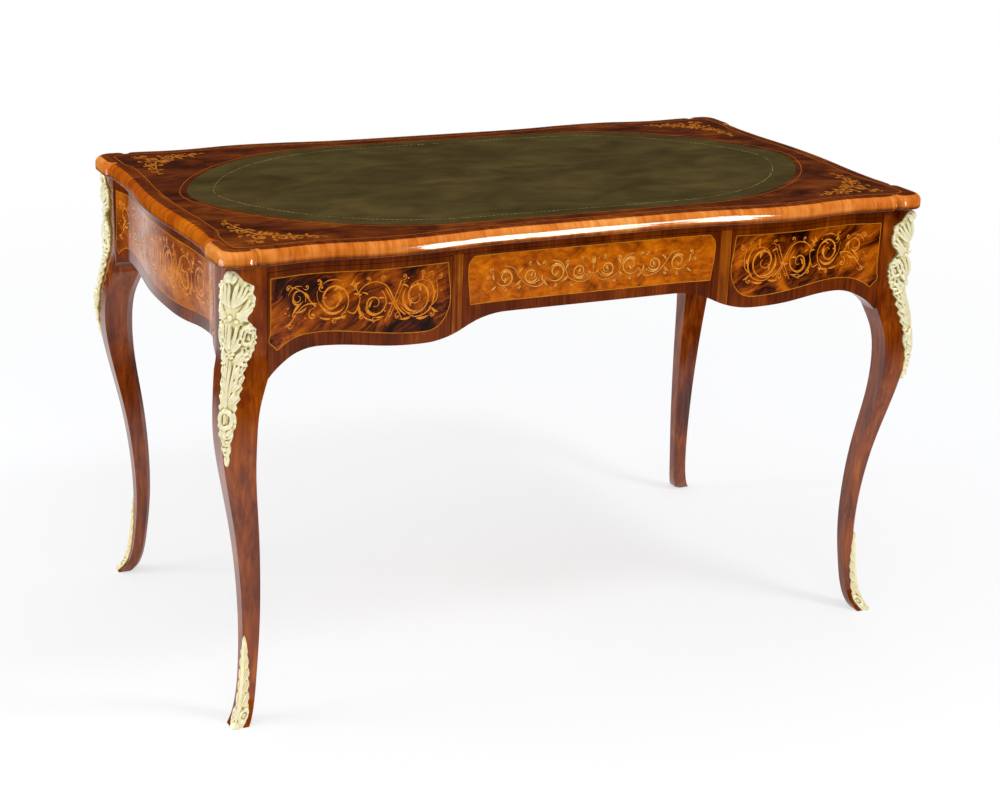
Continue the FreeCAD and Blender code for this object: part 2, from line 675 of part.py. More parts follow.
# Glue blocks in the corner between the aprons and the top
blocks = []
block_z = (top_under + " - block_size", top_under)
mid_block, side_block = "(stile_inner - block_inside)", "(stile_inner + block_outside)"
for i, middle in enumerate(("-dip_at", "-" + side_block, "-" + mid_block, mid_block, side_block, "dip_at")):
    blocks.append(box("rear_block_%d" % i, (middle + " - block_long / 2", middle + " + block_long / 2"),
                      ("frieze_back - block_size", "frieze_back"), block_z))
for i, middle in enumerate(("-end_dip_at + block_long / 2", "0", "end_dip_at - block_long / 2")):
    for name, x_sign in (("left", -1), ("right", 1)):
        blocks.append(box("%s_block_%d" % (name, i), both(x_sign, "end_back - block_size", "end_back"),
                          (middle + " - block_long / 2", middle + " + block_long / 2"), block_z))
keep(group("glue_blocks", blocks))

doc.recompute()

for piece in doc.Objects:
    if "Invalid" in piece.State or "Error" in piece.State:
        raise RuntimeError("failed: %s %s" % (piece.Label, piece.State))
os.makedirs("parts", exist_ok=True)
for piece in nodes:
    shape = piece.Shape
    if shape.isNull() or not shape.isValid() or not shape.Solids:
        raise RuntimeError("no valid solid: " + piece.Label)
    shape.exportStep("parts/%s.step" % piece.Label)
    limits = shape.BoundBox
    print("%-28s %d solid(s) %8.1f cm3  x %.1f..%.1f y %.1f..%.1f z %.1f..%.1f" % (
        piece.Label, len(shape.Solids), shape.Volume / 1000, limits.XMin, limits.XMax,
        limits.YMin, limits.YMax, limits.ZMin, limits.ZMax))
print(len(nodes), "pieces")
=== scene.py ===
# %% [markdown]
# # A serpentine writing table with a leather top
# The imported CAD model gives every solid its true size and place. This lesson dresses it: first
# camera and light, then the finishes, then the thin veneer panels, the inlaid lines and scrolls,
# the gold tooling of the leather and the cast gilt mounts. Drawings are in millimetres, and
# places in the scene are in metres, Blender's unit.

# %% Load the frame
from math import atan2, cos, pi, radians, sin, sqrt

import bpy
import numpy as np
from mathutils import Matrix, Vector


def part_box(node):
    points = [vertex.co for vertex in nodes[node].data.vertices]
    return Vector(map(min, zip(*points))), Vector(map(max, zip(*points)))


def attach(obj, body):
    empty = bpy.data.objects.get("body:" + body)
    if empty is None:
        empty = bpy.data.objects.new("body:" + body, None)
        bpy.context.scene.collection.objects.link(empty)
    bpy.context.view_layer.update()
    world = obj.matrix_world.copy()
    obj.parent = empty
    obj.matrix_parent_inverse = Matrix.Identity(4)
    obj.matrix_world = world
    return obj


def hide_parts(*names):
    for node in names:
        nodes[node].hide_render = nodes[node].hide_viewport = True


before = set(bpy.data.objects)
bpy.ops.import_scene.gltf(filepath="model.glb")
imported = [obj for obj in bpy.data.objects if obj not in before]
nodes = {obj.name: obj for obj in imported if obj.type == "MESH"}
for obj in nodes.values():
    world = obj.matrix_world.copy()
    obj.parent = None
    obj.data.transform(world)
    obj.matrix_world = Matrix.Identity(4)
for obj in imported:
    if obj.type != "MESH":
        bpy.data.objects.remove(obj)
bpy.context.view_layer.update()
MM = 0.001
print("solids in the frame:", len(nodes))

# %% [markdown]
# ## Small helpers
# Colours are sRGB hex codes, as a paint chart gives them, and one function turns them to the
# linear values that shaders use. One more adds a shader node with its settings and links, so
# that a finish reads as a short list of steps.


# %% Colour and node helpers
def shade(code):
    """An sRGB hex colour as linear red, green, blue and alpha."""
    parts = [int(code[i:i + 2], 16) / 255 for i in (1, 3, 5)]
    return [c / 12.92 if c <= 0.04045 else ((c + 0.055) / 1.055) ** 2.4 for c in parts] + [1.0]


def add(tree, kind, inputs=None, stops=None, **settings):
    """The outputs of a new node, given its settings, values or links to its inputs, and ramp stops."""
    made = tree.nodes.new("ShaderNode" + kind)
    for name, value in settings.items():
        setattr(made, name, value)
    for name, value in (inputs or {}).items():
        if isinstance(value, bpy.types.NodeSocket):
            tree.links.new(value, made.inputs[name])
        else:
            made.inputs[name].default_value = value
    if stops:
        ramp = made.color_ramp
        ramp.elements[0].position = stops[0][0]
        ramp.elements[1].position = stops[-1][0]
        for at, code in stops[1:-1]:
            ramp.elements.new(at)
        for element, (at, code) in zip(ramp.elements, stops):
            element.color = shade(code)
    return made.outputs


def calc(tree, operation, *terms):
    """The result of a sum on shader values."""
    return add(tree, "Math", dict(enumerate(terms)), operation=operation)[0]


def eased(tree, value, start, end, first=0.0, last=1.0, kind="LINEAR"):
    """A value that goes from first to last while another goes from start to end."""
    return add(tree, "MapRange", {0: value, 1: start, 2: end, 3: first, 4: last}, interpolation_type=kind)[0]


def noise(tree, place, sizes, detail, roughness=0.5, distortion=0.0):
    """A noise texture stretched to sizes in mm along X, Y and Z."""
    scaled = add(tree, "Mapping", {"Vector": place, "Scale": [1 / (size * MM) for size in sizes]})[0]
    return add(tree, "TexNoise", {"Vector": scaled, "Scale": 1.0, "Detail": detail,
                                  "Roughness": roughness, "Distortion": distortion})


def only(piece):
    """Makes one object the only selected one, and the active one."""
    bpy.ops.object.select_all(action="DESELECT")
    piece.select_set(True)
    bpy.context.view_layer.objects.active = piece


print("test colour:", [round(c, 3) for c in shade("#808080")])

# %% [markdown]
# ## The camera
# The picture was taken from the front left, a little above the table top, with a long lens.
# A camera is a place and three directions, so its matrix is built from yaw, pitch and roll.

# %% Camera
CAMERA_PLACE = Vector((-1.4771, -2.9625, 1.5106))
YAW, PITCH, ROLL = 0.464, 0.333, 0.039
LENS_MM, SENSOR_MM = 72.466, 36

ahead = Vector((sin(YAW) * cos(PITCH), cos(YAW) * cos(PITCH), -sin(PITCH)))
level = Vector((cos(YAW), -sin(YAW), 0))
above = level.cross(ahead)
right = cos(ROLL) * level + sin(ROLL) * above
top = -sin(ROLL) * level + cos(ROLL) * above
bpy.ops.object.camera_add()
camera = bpy.context.object
turn = Matrix((right, top, -ahead)).transposed().to_4x4()
camera.matrix_world = Matrix.Translation(CAMERA_PLACE) @ turn
camera.data.sensor_width = SENSOR_MM
camera.data.sensor_fit = "HORIZONTAL"
camera.data.lens = LENS_MM
bpy.context.scene.camera = camera
bpy.context.scene.view_settings.view_transform = "Standard"
print("camera stands at", [round(v, 3) for v in CAMERA_PLACE])

# %% [markdown]
# ## The floor
# White paper lies under the table and rises behind it. Far from the table it loses its shadows,
# so that no horizon shows. Polish sees it white under and behind the table only, and the room
# in front dark. That keeps the front deep in colour while the ends, seen at a slant, turn pale.

# %% Floor
FLOOR_SIZE = 40
FLOOR_NEAR, FLOOR_FAR, FLOOR_PAPER = 0.9, 3.4, 0.6
PAPER_END, PAPER_FULL = -1.6, -0.5
PAPER_WIDE, PAPER_EDGE = 0.95, 1.6
DARK_ROOM = 0.02


def sight(tree, one, other):
    """Whether camera or polish sees a point, and how white; for polish, the product of two shares."""
    ray = add(tree, "LightPath")
    seen = calc(tree, "MAXIMUM", ray["Is Camera Ray"], ray["Is Glossy Ray"])
    return seen, calc(tree, "MAXIMUM", ray["Is Camera Ray"], calc(tree, "MULTIPLY", one, other))


bpy.ops.mesh.primitive_plane_add(size=FLOOR_SIZE)
floor = bpy.context.object
floor.name = "studio_floor"
paper = bpy.data.materials.new("white_paper_floor")
paper.use_nodes = True
tree = paper.node_tree
tree.nodes.clear()
place = add(tree, "TexCoord")["Object"]
across, depth, height = add(tree, "SeparateXYZ", {0: place})
length = eased(tree, depth, PAPER_END, PAPER_FULL, DARK_ROOM)
width = eased(tree, calc(tree, "ABSOLUTE", across), PAPER_WIDE, PAPER_EDGE, 1.0, DARK_ROOM)
seen, glow = sight(tree, length, width)
reach = add(tree, "VectorMath", {0: place}, operation="LENGTH")["Value"]
fade = eased(tree, reach, FLOOR_NEAR, FLOOR_FAR, FLOOR_PAPER, kind="SMOOTHSTEP")
near = add(tree, "BsdfDiffuse", {"Color": shade("#F9FBFF")})[0]
far = add(tree, "Emission", {"Color": shade("#FFFFFF"), "Strength": glow})[0]
both = add(tree, "MixShader", {0: calc(tree, "MULTIPLY", seen, fade), 1: near, 2: far})[0]
add(tree, "OutputMaterial", {"Surface": both})
floor.data.materials.append(paper)
print("floor:", FLOOR_SIZE, "m wide")

# %% [markdown]
# ## The lamps and the room
# Soft lamps hang over the table and beside it, and a white room fills the shadows. Polish sees
# that room white only low down behind the table.

# %% Lamps and room
LAMPS = {
    "lamp_over": ((1.5, -1.6, 3.4), 0.7, 36),
    "lamp_left": ((-3.2, 0.6, 2.4), 1.6, 40),
    "lamp_front": ((-1.2, -3.6, 2.6), 2.0, 26),
}
LAMP_AIM = Vector((0, 0, 0.5))
ROOM_LIGHT = 0.72
SWEEP_LOW, SWEEP_TOP, SWEEP_SIDE = 0.0, 0.16, 0.3
for name, (place, size, watts) in LAMPS.items():
    bpy.ops.object.light_add(type="AREA", location=place)
    lamp = bpy.context.object
    lamp.name = name
    lamp.data.size = size
    lamp.data.energy = watts
    lamp.rotation_euler = (LAMP_AIM - Vector(place)).to_track_quat("-Z", "Y").to_euler()

room = bpy.data.worlds.new("white_room")
bpy.context.scene.world = room
room.use_nodes = True
tree = room.node_tree
tree.nodes.clear()
across, depth, height = add(tree, "SeparateXYZ", {0: add(tree, "TexCoord")["Generated"]})
sweep = eased(tree, height, SWEEP_LOW, SWEEP_TOP, 1.0, DARK_ROOM)
behind = eased(tree, depth, -SWEEP_SIDE, SWEEP_SIDE, DARK_ROOM)
seen, glow = sight(tree, sweep, behind)
lit = add(tree, "Background", {"Color": shade("#FFFFFF"), "Strength": ROOM_LIGHT})[0]
shown = add(tree, "Background", {"Color": shade("#FFFFFF"), "Strength": glow})[0]
either = add(tree, "MixShader", {0: seen, 1: lit, 2: shown})[0]
add(tree, "OutputWorld", {"Surface": either})
print("lamps:", sorted(LAMPS))

# %% [markdown]
# ## Polished veneers
# Walnut veneer is a sheet under a millimetre thick, glued on and brought to a high polish.
# Two patterns make it: narrow streaks that run with the fibres, and broad clouds of figure.
# Each is a noise texture stretched to a real size. A clear coat is the polish. Grain that runs
# up a frieze, or across a border, is crossbanding, only a different stretch of the noise.
# The moulding round the top is pale on its belly and dark on its level part, and its lower lip is darkened by
# painted shade.
# Its belly is fuller than the CAD solid's, and a bump bends the light to show that.

# %% Recipe of a veneer
POLISH = {"Roughness": 0.45, "Specular IOR Level": 0.0, "Coat Weight": 1.0, "Coat IOR": 1.5,
          "Coat Roughness": 0.06}
FIBRE_BUMP, FIBRE_DEEP = 0.05, 0.2
LEVEL_FROM, LEVEL_FULL = 0.95, 0.99
# Painted shade on the moulding's lower lip: full below LIP_SHADE, gone above LIP_CLEAR, heights in metres.
LIP_SHADE, LIP_CLEAR = 0.739, 0.745
LIP_LOW, LIP_HIGH, LIP_BELLY = 0.735, 0.757, 11.4


def surface(name, sockets):
    """A new material, its nodes, its shader with plain values set, and the place on the object."""
    made = bpy.data.materials.new(name)
    made.use_nodes = True
    shader = made.node_tree.nodes["Principled BSDF"]
    for socket, value in sockets.items():
        shader.inputs[socket].default_value = value
    return made, made.node_tree, shader, add(made.node_tree, "TexCoord")["Object"]


def dress(tree, shader, tone, bump=None):
    """Gives a shader its colour and its bump."""
    tree.links.new(tone["Color"], shader.inputs["Base Color"])
    if bump:
        tree.links.new(bump["Normal"], shader.inputs["Normal"])


def veneer(name, stops, fibre, figure, share, wander, turn=(0, 0, 0), sockets=POLISH, flat=None):
    """Polished wood. Streaks of fibre wander with clouds of figure; sizes in mm along X, Y and Z.
    A moulding takes the colours in flat on its level part, and on its lower lip as painted shade."""
    made, tree, shader, place = surface(name, sockets)
    turned = add(tree, "Mapping", {"Vector": place, "Rotation": turn})[0]
    cloud = noise(tree, turned, figure, 3.0, 0.5, 0.8)
    bent = add(tree, "VectorMath", {0: cloud["Color"], 1: [wander * MM] * 3, 2: turned},
               operation="MULTIPLY_ADD")[0]
    streak = noise(tree, bent, fibre, 6.0, 0.62, 0.2)["Fac"]
    mixed = add(tree, "Mix", {0: share, 2: streak, 3: cloud["Fac"]}, data_type="FLOAT")[0]
    tone = add(tree, "ValToRGB", {"Fac": mixed}, stops)
    grain = {"Height": streak, "Strength": FIBRE_BUMP, "Distance": FIBRE_DEEP * MM}
    if flat:
        facing = add(tree, "SeparateXYZ", {0: add(tree, "NewGeometry")["Normal"]})["Z"]
        up = add(tree, "SeparateXYZ", {0: place})["Z"]
        level = eased(tree, facing, LEVEL_FROM, LEVEL_FULL)
        # Painted shade: the lower lip takes the darker colours from its height alone.
        painted_lip_shade = eased(tree, up, LIP_SHADE, LIP_CLEAR, 1.0, 0.0)
        other = add(tree, "ValToRGB", {"Fac": mixed}, flat)[0]
        tone = add(tree, "MixRGB", {0: calc(tree, "MAXIMUM", level, painted_lip_shade), 1: tone[0], 2: other})
        belly = eased(tree, up, LIP_LOW, LIP_HIGH, 1.0, 0.0, "SMOOTHSTEP")
        full = add(tree, "Bump", {"Height": belly, "Strength": 1.0, "Distance": LIP_BELLY * MM})["Normal"]
        grain["Normal"] = full
        tree.links.new(full, shader.inputs["Coat Normal"])
    dress(tree, shader, tone, add(tree, "Bump", grain))
    return made


print("polish:", POLISH)

# %% [markdown]
# ## The walnut veneers
# A cabinetmaker picks the figure of each part: burr for the middle and the ends, dark curls for
# the side panels, stripes for borders and stiles. A call gives colours, fibre and figure sizes,
# the figure's share and how far the fibres wander.

# %% Walnut veneers
WALNUT_DARK = [(0.32, "#2A0A01"), (0.44, "#501D03"), (0.55, "#6E3007"), (0.68, "#984C10")]
WALNUT_EDGE = [(0.32, "#340E01"), (0.45, "#602403"), (0.56, "#803806"), (0.68, "#A2520F")]
WALNUT_RED = [(0.3, "#320C00"), (0.45, "#5A2000"), (0.57, "#763002"), (0.74, "#9C4A06")]
WALNUT_STILE = [(0.32, "#441702"), (0.45, "#723002"), (0.56, "#944A06"), (0.68, "#B06410")]
WALNUT_PANEL = [(0.4, "#160401"), (0.47, "#441600"), (0.54, "#883A01"), (0.63, "#BC6005")]
WALNUT_END = [(0.32, "#4A1A02"), (0.45, "#883C03"), (0.56, "#B05C08"), (0.68, "#CC7A16")]
WALNUT_WARM = [(0.3, "#96460F"), (0.44, "#C8681E"), (0.56, "#E2883A"), (0.7, "#F6AC5C")]
WALNUT_GOLD = [(0.3, "#742C02"), (0.44, "#A84A04"), (0.56, "#C6660A"), (0.7, "#E08A1C")]
WALNUT_LEG = [(0.32, "#3C1002"), (0.45, "#6C2A04"), (0.56, "#8A3E07"), (0.7, "#AC5A10")]
WALNUT_BURR = [(0.31, "#582200"), (0.43, "#964400"), (0.55, "#C06000"), (0.7, "#DA7E08")]

top_walnut = veneer("figured_walnut_top", WALNUT_DARK, (70, 13, 20), (85, 60, 60), 0.62, 55)
top_crossband = veneer("crossbanded_walnut_top", WALNUT_EDGE, (7, 60, 20), (90, 90, 90), 0.35, 14)
frieze_crossband = veneer("crossbanded_walnut_frieze", WALNUT_RED, (4, 4, 160), (70, 70, 120), 0.5, 8)
stile_walnut = veneer("striped_walnut_stile", WALNUT_STILE, (4, 4, 160), (40, 40, 120), 0.4, 6)
side_walnut = veneer("figured_walnut_panel", WALNUT_PANEL, (60, 60, 7), (80, 80, 55), 0.62, 70, (0, 0.5, 0))
centre_burr = veneer("burr_walnut_panel", WALNUT_BURR, (16, 16, 9), (46, 46, 30), 0.45, 30)
end_burr = veneer("burr_walnut_end", WALNUT_END, (60, 60, 12), (110, 110, 70), 0.6, 50)
leg_walnut = veneer("figured_walnut_leg", WALNUT_LEG, (7, 7, 150), (55, 55, 100), 0.5, 20)
# The level part takes the crossbanding's walnut, and the lower lip takes the same colours as painted shade.
moulding_long = veneer("crossbanded_walnut_moulding_long", WALNUT_WARM, (8, 60, 60), (120, 90, 90), 0.5, 8,
                       flat=WALNUT_EDGE)
moulding_end = veneer("crossbanded_walnut_moulding_end", WALNUT_GOLD, (60, 8, 60), (90, 120, 90), 0.5, 8,
                      flat=WALNUT_EDGE)
print("veneers:", [m.name for m in bpy.data.materials if "walnut" in m.name])

# %% [markdown]
# ## Plain timbers and inlay woods
# The drawer linings are oiled oak, and the inner carcass is softwood. The inlay is boxwood and
# fruitwood, golden and close grained, with a darker fruitwood on the top. Hot sand scorches the
# wood that edges the middle scroll. Lines and sprays are matt, so that they don't sparkle.

# %% Timbers and inlay woods
MATT = {"Roughness": 0.5, "Specular IOR Level": 0.0}
OILED = {"Roughness": 0.55, "Specular IOR Level": 0.3}
OAK = [(0.32, "#8A5F34"), (0.5, "#AD8250"), (0.68, "#C59C68")]
PINE = [(0.32, "#9A7548"), (0.5, "#BC9662"), (0.68, "#D2B07C")]
BOXWOOD = [(0.3, "#9C5812"), (0.5, "#BC741C"), (0.7, "#D28E32")]
FRUITWOOD = [(0.3, "#B45C04"), (0.5, "#D67C0E"), (0.7, "#EE9E30")]
PALE_BOX = [(0.3, "#B86C16"), (0.5, "#D68C2E"), (0.7, "#EAA84E")]
SPRAY = [(0.3, "#8C4A12"), (0.5, "#AA641E"), (0.7, "#C27E34")]
TOP_LINE = [(0.3, "#7C3E0E"), (0.5, "#98541A"), (0.7, "#B26E2C")]
SCORCHED = [(0.3, "#3A1400"), (0.5, "#5C2402"), (0.7, "#7A3404")]
LINE_CUT = ((8, 8, 8), (30, 30, 30), 0.5, 2)
INLAY_CUT = ((6, 6, 6), (18, 18, 18), 0.5, 4)
drawer_oak = veneer("oiled_oak", OAK, (90, 5, 5), (120, 60, 60), 0.3, 8, sockets=OILED)
side_oak = veneer("oiled_oak_sides", OAK, (5, 90, 5), (60, 120, 60), 0.3, 8, sockets=OILED)
softwood = veneer("planed_softwood", PINE, (90, 8, 8), (120, 60, 60), 0.3, 8, sockets=OILED)
boxwood = veneer("boxwood_line", BOXWOOD, *LINE_CUT, sockets=MATT)
pale_box = veneer("boxwood_inlay", PALE_BOX, *INLAY_CUT)
scorched = veneer("scorched_inlay", SCORCHED, *INLAY_CUT)
fruitwood = veneer("fruitwood_inlay", FRUITWOOD, *INLAY_CUT)
line_wood = veneer("fruitwood_line", TOP_LINE, *LINE_CUT, sockets=MATT)
spray_wood = veneer("fruitwood_spray", SPRAY, *INLAY_CUT, sockets=MATT)
print("finishes so far:", len(bpy.data.materials))

# %% [markdown]
# ## Leather, gold leaf and gilt brass
# The leather is an aniline dyed skin, mottled by the dye, with fine pores. Its tooled line is
# gold leaf, worn in places. The mounts are brass, cast, chased and gilt: raised parts are
# burnished and pale, and hollows keep a brown tone. That tone reads the attribute "relief",
# which each casting stores with its mesh.

# %% Leather, gold leaf and brass
DYE_CLOUDS = (110, 60, 100)
PORE, PORE_DEEP = 1.6, 0.15
WEAR, PATINA, PATINA_SHARE = 9, 7, 0.25
CHASING, CHASING_DEEP = 2.2, 0.5
leather, tree, shader, place = surface("aniline_leather", {"Roughness": 0.6, "Specular IOR Level": 0.03})
dye = noise(tree, place, DYE_CLOUDS, 8.0, 0.62, 0.5)
tone = add(tree, "ValToRGB", {"Fac": dye["Fac"]},
           [(0.32, "#3D3216"), (0.5, "#4A3E1D"), (0.68, "#584A23")])
pore = add(tree, "TexVoronoi", {"Vector": place, "Scale": 1 / (PORE * MM)})
bump = add(tree, "Bump", {"Height": pore["Distance"], "Strength": 0.25, "Distance": PORE_DEEP * MM})
dress(tree, shader, tone, bump)

gold_leaf, tree, shader, place = surface("tooled_gold_leaf", {"Metallic": 0.5, "Roughness": 0.4})
worn = noise(tree, place, [WEAR] * 3, 3.0)
tone = add(tree, "ValToRGB", {"Fac": worn["Fac"]},
           [(0.35, "#6E5F26"), (0.5, "#B29A4C"), (0.68, "#E0CA7C")])
dress(tree, shader, tone)

gilt_brass, tree, shader, place = surface("cast_gilt_brass", {"Metallic": 0.25, "Roughness": 0.34})
relief = add(tree, "Attribute", attribute_name="relief")
patina = noise(tree, place, [PATINA] * 3, 3.0)
spread = calc(tree, "MULTIPLY_ADD", patina["Fac"], PATINA_SHARE, relief["Fac"])
tone = add(tree, "ValToRGB", {"Fac": spread},
           [(0.24, "#A08E4A"), (0.42, "#E8D794"), (0.56, "#FFF2BE"), (0.8, "#FFFADA")])
chased = noise(tree, place, [CHASING] * 3, 2.0)
bump = add(tree, "Bump", {"Height": chased["Fac"], "Strength": 0.35, "Distance": CHASING_DEEP * MM})
dress(tree, shader, tone, bump)
print("finishes:", len(bpy.data.materials))

# %% [markdown]
# ## Finishes on the CAD solids
# The carcass keeps its CAD shapes, so each solid only gets its finish. The grain of a border
# runs across it, so long and end mouldings take two cuts of the same veneer.

# %% Assign finishes
FINISH = {
    "top_board": softwood, "top_crossbanding": top_crossband, "edge_stringing": line_wood,
    "top_field": top_walnut, "leather_stringing": top_walnut, "leather_top": leather,
    "moulding": moulding_long, "moulding_left": moulding_end, "moulding_right": moulding_end,
    "leg": leg_walnut, "apron": frieze_crossband,
    "front_rail": frieze_crossband, "stile": stile_walnut, "partition": softwood,
    "runners": side_oak, "drawer_kickers": side_oak, "drawer_stops": drawer_oak, "glue_blocks": softwood,
    "knee_mount": gilt_brass, "sabot": gilt_brass,
}
DRAWER = {"front": frieze_crossband, "side": side_oak, "back": drawer_oak, "bottom": drawer_oak}
for name, solid in nodes.items():
    part = name.split("_")[-1]
    if name.startswith("drawer_") and part in DRAWER:
        finish = DRAWER[part]
    else:
        finish = FINISH[max((key for key in FINISH if name.startswith(key)), key=len)]
    solid.data.materials.clear()
    solid.data.materials.append(finish)
print("dressed solids:", len(nodes))

# %% [markdown]
# ## Drawing on a face
# Panels, lines and scrolls are drawn flat first, as a marquetry cutter does: p runs to the
# right along a face, q up it and d out of it. Then they are laid on the swelling face of a CAD
# solid. Rays measure how far it stands out at each p, so the veneer follows the serpentine.

# %% Laying a drawing on a face
X, Y, Z = (Vector(row) for row in Matrix.Identity(3))
SIDES = {"front": (X, Z, -Y), "rear": (-X, Z, Y), "left": (-Y, Z, -X), "right": (Y, Z, X), "top": (X, Y, Z)}
RAY_HEIGHT, RAY_FROM = 0.70, 2
RAY_STEP, RAY_INSET, RAY_END = 1.0, 0.5, 0.4
TABLE_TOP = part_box("top_field")[1].z


def stand_out(side, node):
    """Distances along a face, and how far a CAD solid stands out there."""
    along, up, out = SIDES[side]
    ends = sorted(along.dot(corner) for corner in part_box(node))
    places = np.arange(ends[0] + RAY_INSET * MM, ends[1] - RAY_END * MM, RAY_STEP * MM)
    heights = []
    for p in places:
        start = along * float(p) + up * RAY_HEIGHT + out * RAY_FROM
        hit, where = nodes[node].ray_cast(start, -out)[:2]
        heights.append(where.dot(out) if hit else float("nan"))
    heights = np.array(heights)
    good = np.isfinite(heights)
    return places[good], heights[good]


def lay(piece, side, node=None):
    """Moves a flat drawing (p, q, d) onto a face of a CAD solid, or onto the table top."""
    along, up, out = (np.array(v) for v in SIDES[side])
    flat = np.empty(len(piece.data.vertices) * 3)
    piece.data.vertices.foreach_get("co", flat)
    flat = flat.reshape(-1, 3)
    base = TABLE_TOP
    if node:
        places, heights = stand_out(side, node)
        base = np.interp(flat[:, 0], places, heights)
    depth = flat[:, 2] + base
    laid = flat[:, :1] * along + flat[:, 1:2] * up + depth[:, None] * out
    piece.data.vertices.foreach_set("co", laid.ravel())
    piece.data.update()


def settle(piece, finish, body):
    """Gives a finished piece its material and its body."""
    piece.data.materials.clear()
    piece.data.materials.append(finish)
    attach(piece, body)
    return piece


print("front swells to", round(float(stand_out("front", "drawer_left_front")[1].max()), 4))

# %% [markdown]
# ## Inlaid strokes
# Inlaid lines and marquetry scrolls are strokes whose width changes along them. A Blender
# curve does just that: each point has a radius. The curve becomes a mesh, its upper side is
# pressed flat just above the ground, and it is laid on its face.

# %% Strokes
SUNK = 0.4


def inlay(name, strokes, rise, finish, side, node, body, slot, closed=False):
    """Strokes [(p, q, half width), ...] in mm as one thin inlaid piece."""
    line = bpy.data.curves.new(name, "CURVE")
    line.dimensions = "3D"
    line.twist_mode = "Z_UP"
    line.bevel_depth = MM
    line.bevel_resolution = 1
    line.use_fill_caps = not closed
    for stroke in strokes:
        run = line.splines.new("POLY")
        run.points.add(len(stroke) - 1)
        run.use_cyclic_u = closed
        for point, (p, q, half) in zip(run.points, stroke):
            point.co = (p * MM, q * MM, 0, 1)
            point.radius = half
    piece = bpy.data.objects.new(name, line)
    bpy.context.collection.objects.link(piece)
    only(piece)
    bpy.ops.object.convert(target="MESH")
    piece = bpy.context.object
    for vertex in piece.data.vertices:
        vertex.co.z = max(-SUNK * MM, min(rise * MM, vertex.co.z))
    lay(piece, side, node)
    settle(piece, finish, body)
    print(name, "faces:", len(piece.data.polygons))


print("strokes reach", SUNK, "mm into the ground")

# %% [markdown]
# ## The cutter's forms
# A few forms make all the foliage: a stem through points, a volute that winds in to an eye, a
# leaf, a bud, a tendril and a crescent. A drawing can then be spread, turned over, moved or
# drawn bolder, as a cutter pricks a second half through folded paper.

# %% Forms
STEM_STEP = 0.125
TURN_STEPS, END_STEPS = 26, 4
WOUND_IN, WOUND_EASE, WOUND_FINEST = 0.84, 0.85, 0.45
LEAF_STEPS = 10
BUD_POINTS, CRESCENT_POINTS = 9, 15
FINEST = 0.2


def stem(points, first, last):
    """A smooth stroke through points, from one half width to another."""
    line = []
    ends = [points[0]] + list(points) + [points[-1]]
    for i in range(1, len(ends) - 2):
        a, b, c, d = (np.array(ends[i + k], float) for k in (-1, 0, 1, 2))
        for t in np.arange(0, 1, STEM_STEP):
            line.append(0.5 * (2 * b + (c - a) * t + (2 * a - 5 * b + 4 * c - d) * t ** 2
                               + (3 * b - a - 3 * c + d) * t ** 3))
    line.append(np.array(points[-1], float))
    count = len(line) - 1
    return [(p, q, first + (last - first) * i / count) for i, (p, q) in enumerate(line)]


def volute(p, q, radius, start, turns, half, hand=1):
    """A stem that winds in to an eye."""
    line = []
    steps = int(TURN_STEPS * turns) + END_STEPS
    for i in range(steps + 1):
        t = i / steps
        reach = radius * (1 - WOUND_IN * t ** WOUND_EASE)
        angle = radians(start) + hand * 2 * pi * turns * t
        width = half * (0.5 + 0.9 * sin(pi * min(1, 0.1 + t)) ** 2)
        line.append((p + reach * cos(angle), q + reach * sin(angle), max(width, WOUND_FINEST)))
    return line


def leaf(p, q, angle, length, half, bend=0):
    """A leaf that starts at a point, with a full belly and a fine tip."""
    line = []
    heading = radians(angle)
    for i in range(LEAF_STEPS + 1):
        t = i / LEAF_STEPS
        width = half * sin(pi * (0.05 + 0.93 * t)) ** 0.8 * (1.25 - 0.6 * t)
        line.append((p, q, max(FINEST, width)))
        heading += radians(bend) / LEAF_STEPS
        p += length / LEAF_STEPS * cos(heading)
        q += length / LEAF_STEPS * sin(heading)
    return line


def bud(p, q, radius):
    """A round dot."""
    turn = np.linspace(pi, 0, BUD_POINTS)
    return [(p + radius * cos(a), q, max(FINEST, radius * sin(a))) for a in turn]


def curl(p, q, radius, start, hand=1, half=0.9):
    """A small tendril with a dot at its end."""
    return [volute(p, q, radius, start, 0.9, half, hand), bud(p, q, 0.32 * radius)]


def crescent(p, q, radius, first, last, half):
    """Part of a ring, full in the middle and fine at both ends."""
    turn = np.radians(np.linspace(first, last, CRESCENT_POINTS))
    return [(p + radius * cos(a), q + radius * sin(a),
             max(FINEST, half * sin(pi * i / (CRESCENT_POINTS - 1)))) for i, a in enumerate(turn)]


def many(form, places):
    """Strokes of one form at many places. A tendril has two strokes."""
    strokes = [form(*place) for place in places]
    return sum(strokes, []) if form is curl else strokes


def redrawn(strokes, by=(1, 1), move=(0, 0), bold=1, wider=0):
    """The same strokes spread, moved and drawn bolder or wider; a spread of -1 turns them over."""
    return [[(p * by[0] + move[0], q * by[1] + move[1], half * bold + wider) for p, q, half in stroke]
            for stroke in strokes]


MIRROR = (-1, 1)
print("a volute has", len(volute(0, 0, 20, 0, 1.5, 1)), "points")

# %% [markdown]
# ## Panels of the friezes
# Each drawer front has a shaped panel inside a crossbanded border, with a boxwood line round
# it. A grid stretched between its four edges follows the shaped lower edge, with faces enough
# to lie on the swelling front, and a Solidify modifier gives it the thickness of veneer.

# %% One panel
VENEER_PROUD, VENEER_THICK = 0.12, 0.5
LINE_HALF, LINE_RISE = 0.75, 0.3
COLUMNS, ROWS = 96, 24


def paced(path):
    """How far along a path each of its points lies."""
    return np.concatenate([[0], np.cumsum(np.hypot(*np.diff(path, axis=0).T))])


def at_paces(path, at):
    """The points at given distances along a path."""
    return np.column_stack([np.interp(at, paced(path), path[:, k]) for k in (0, 1)])


def along_edge(points, count):
    """Evenly spaced places along an edge through points."""
    path = np.array([(p, q) for p, q, half in stem(points, 1, 1)])
    return at_paces(path, np.linspace(0, paced(path)[-1], count))


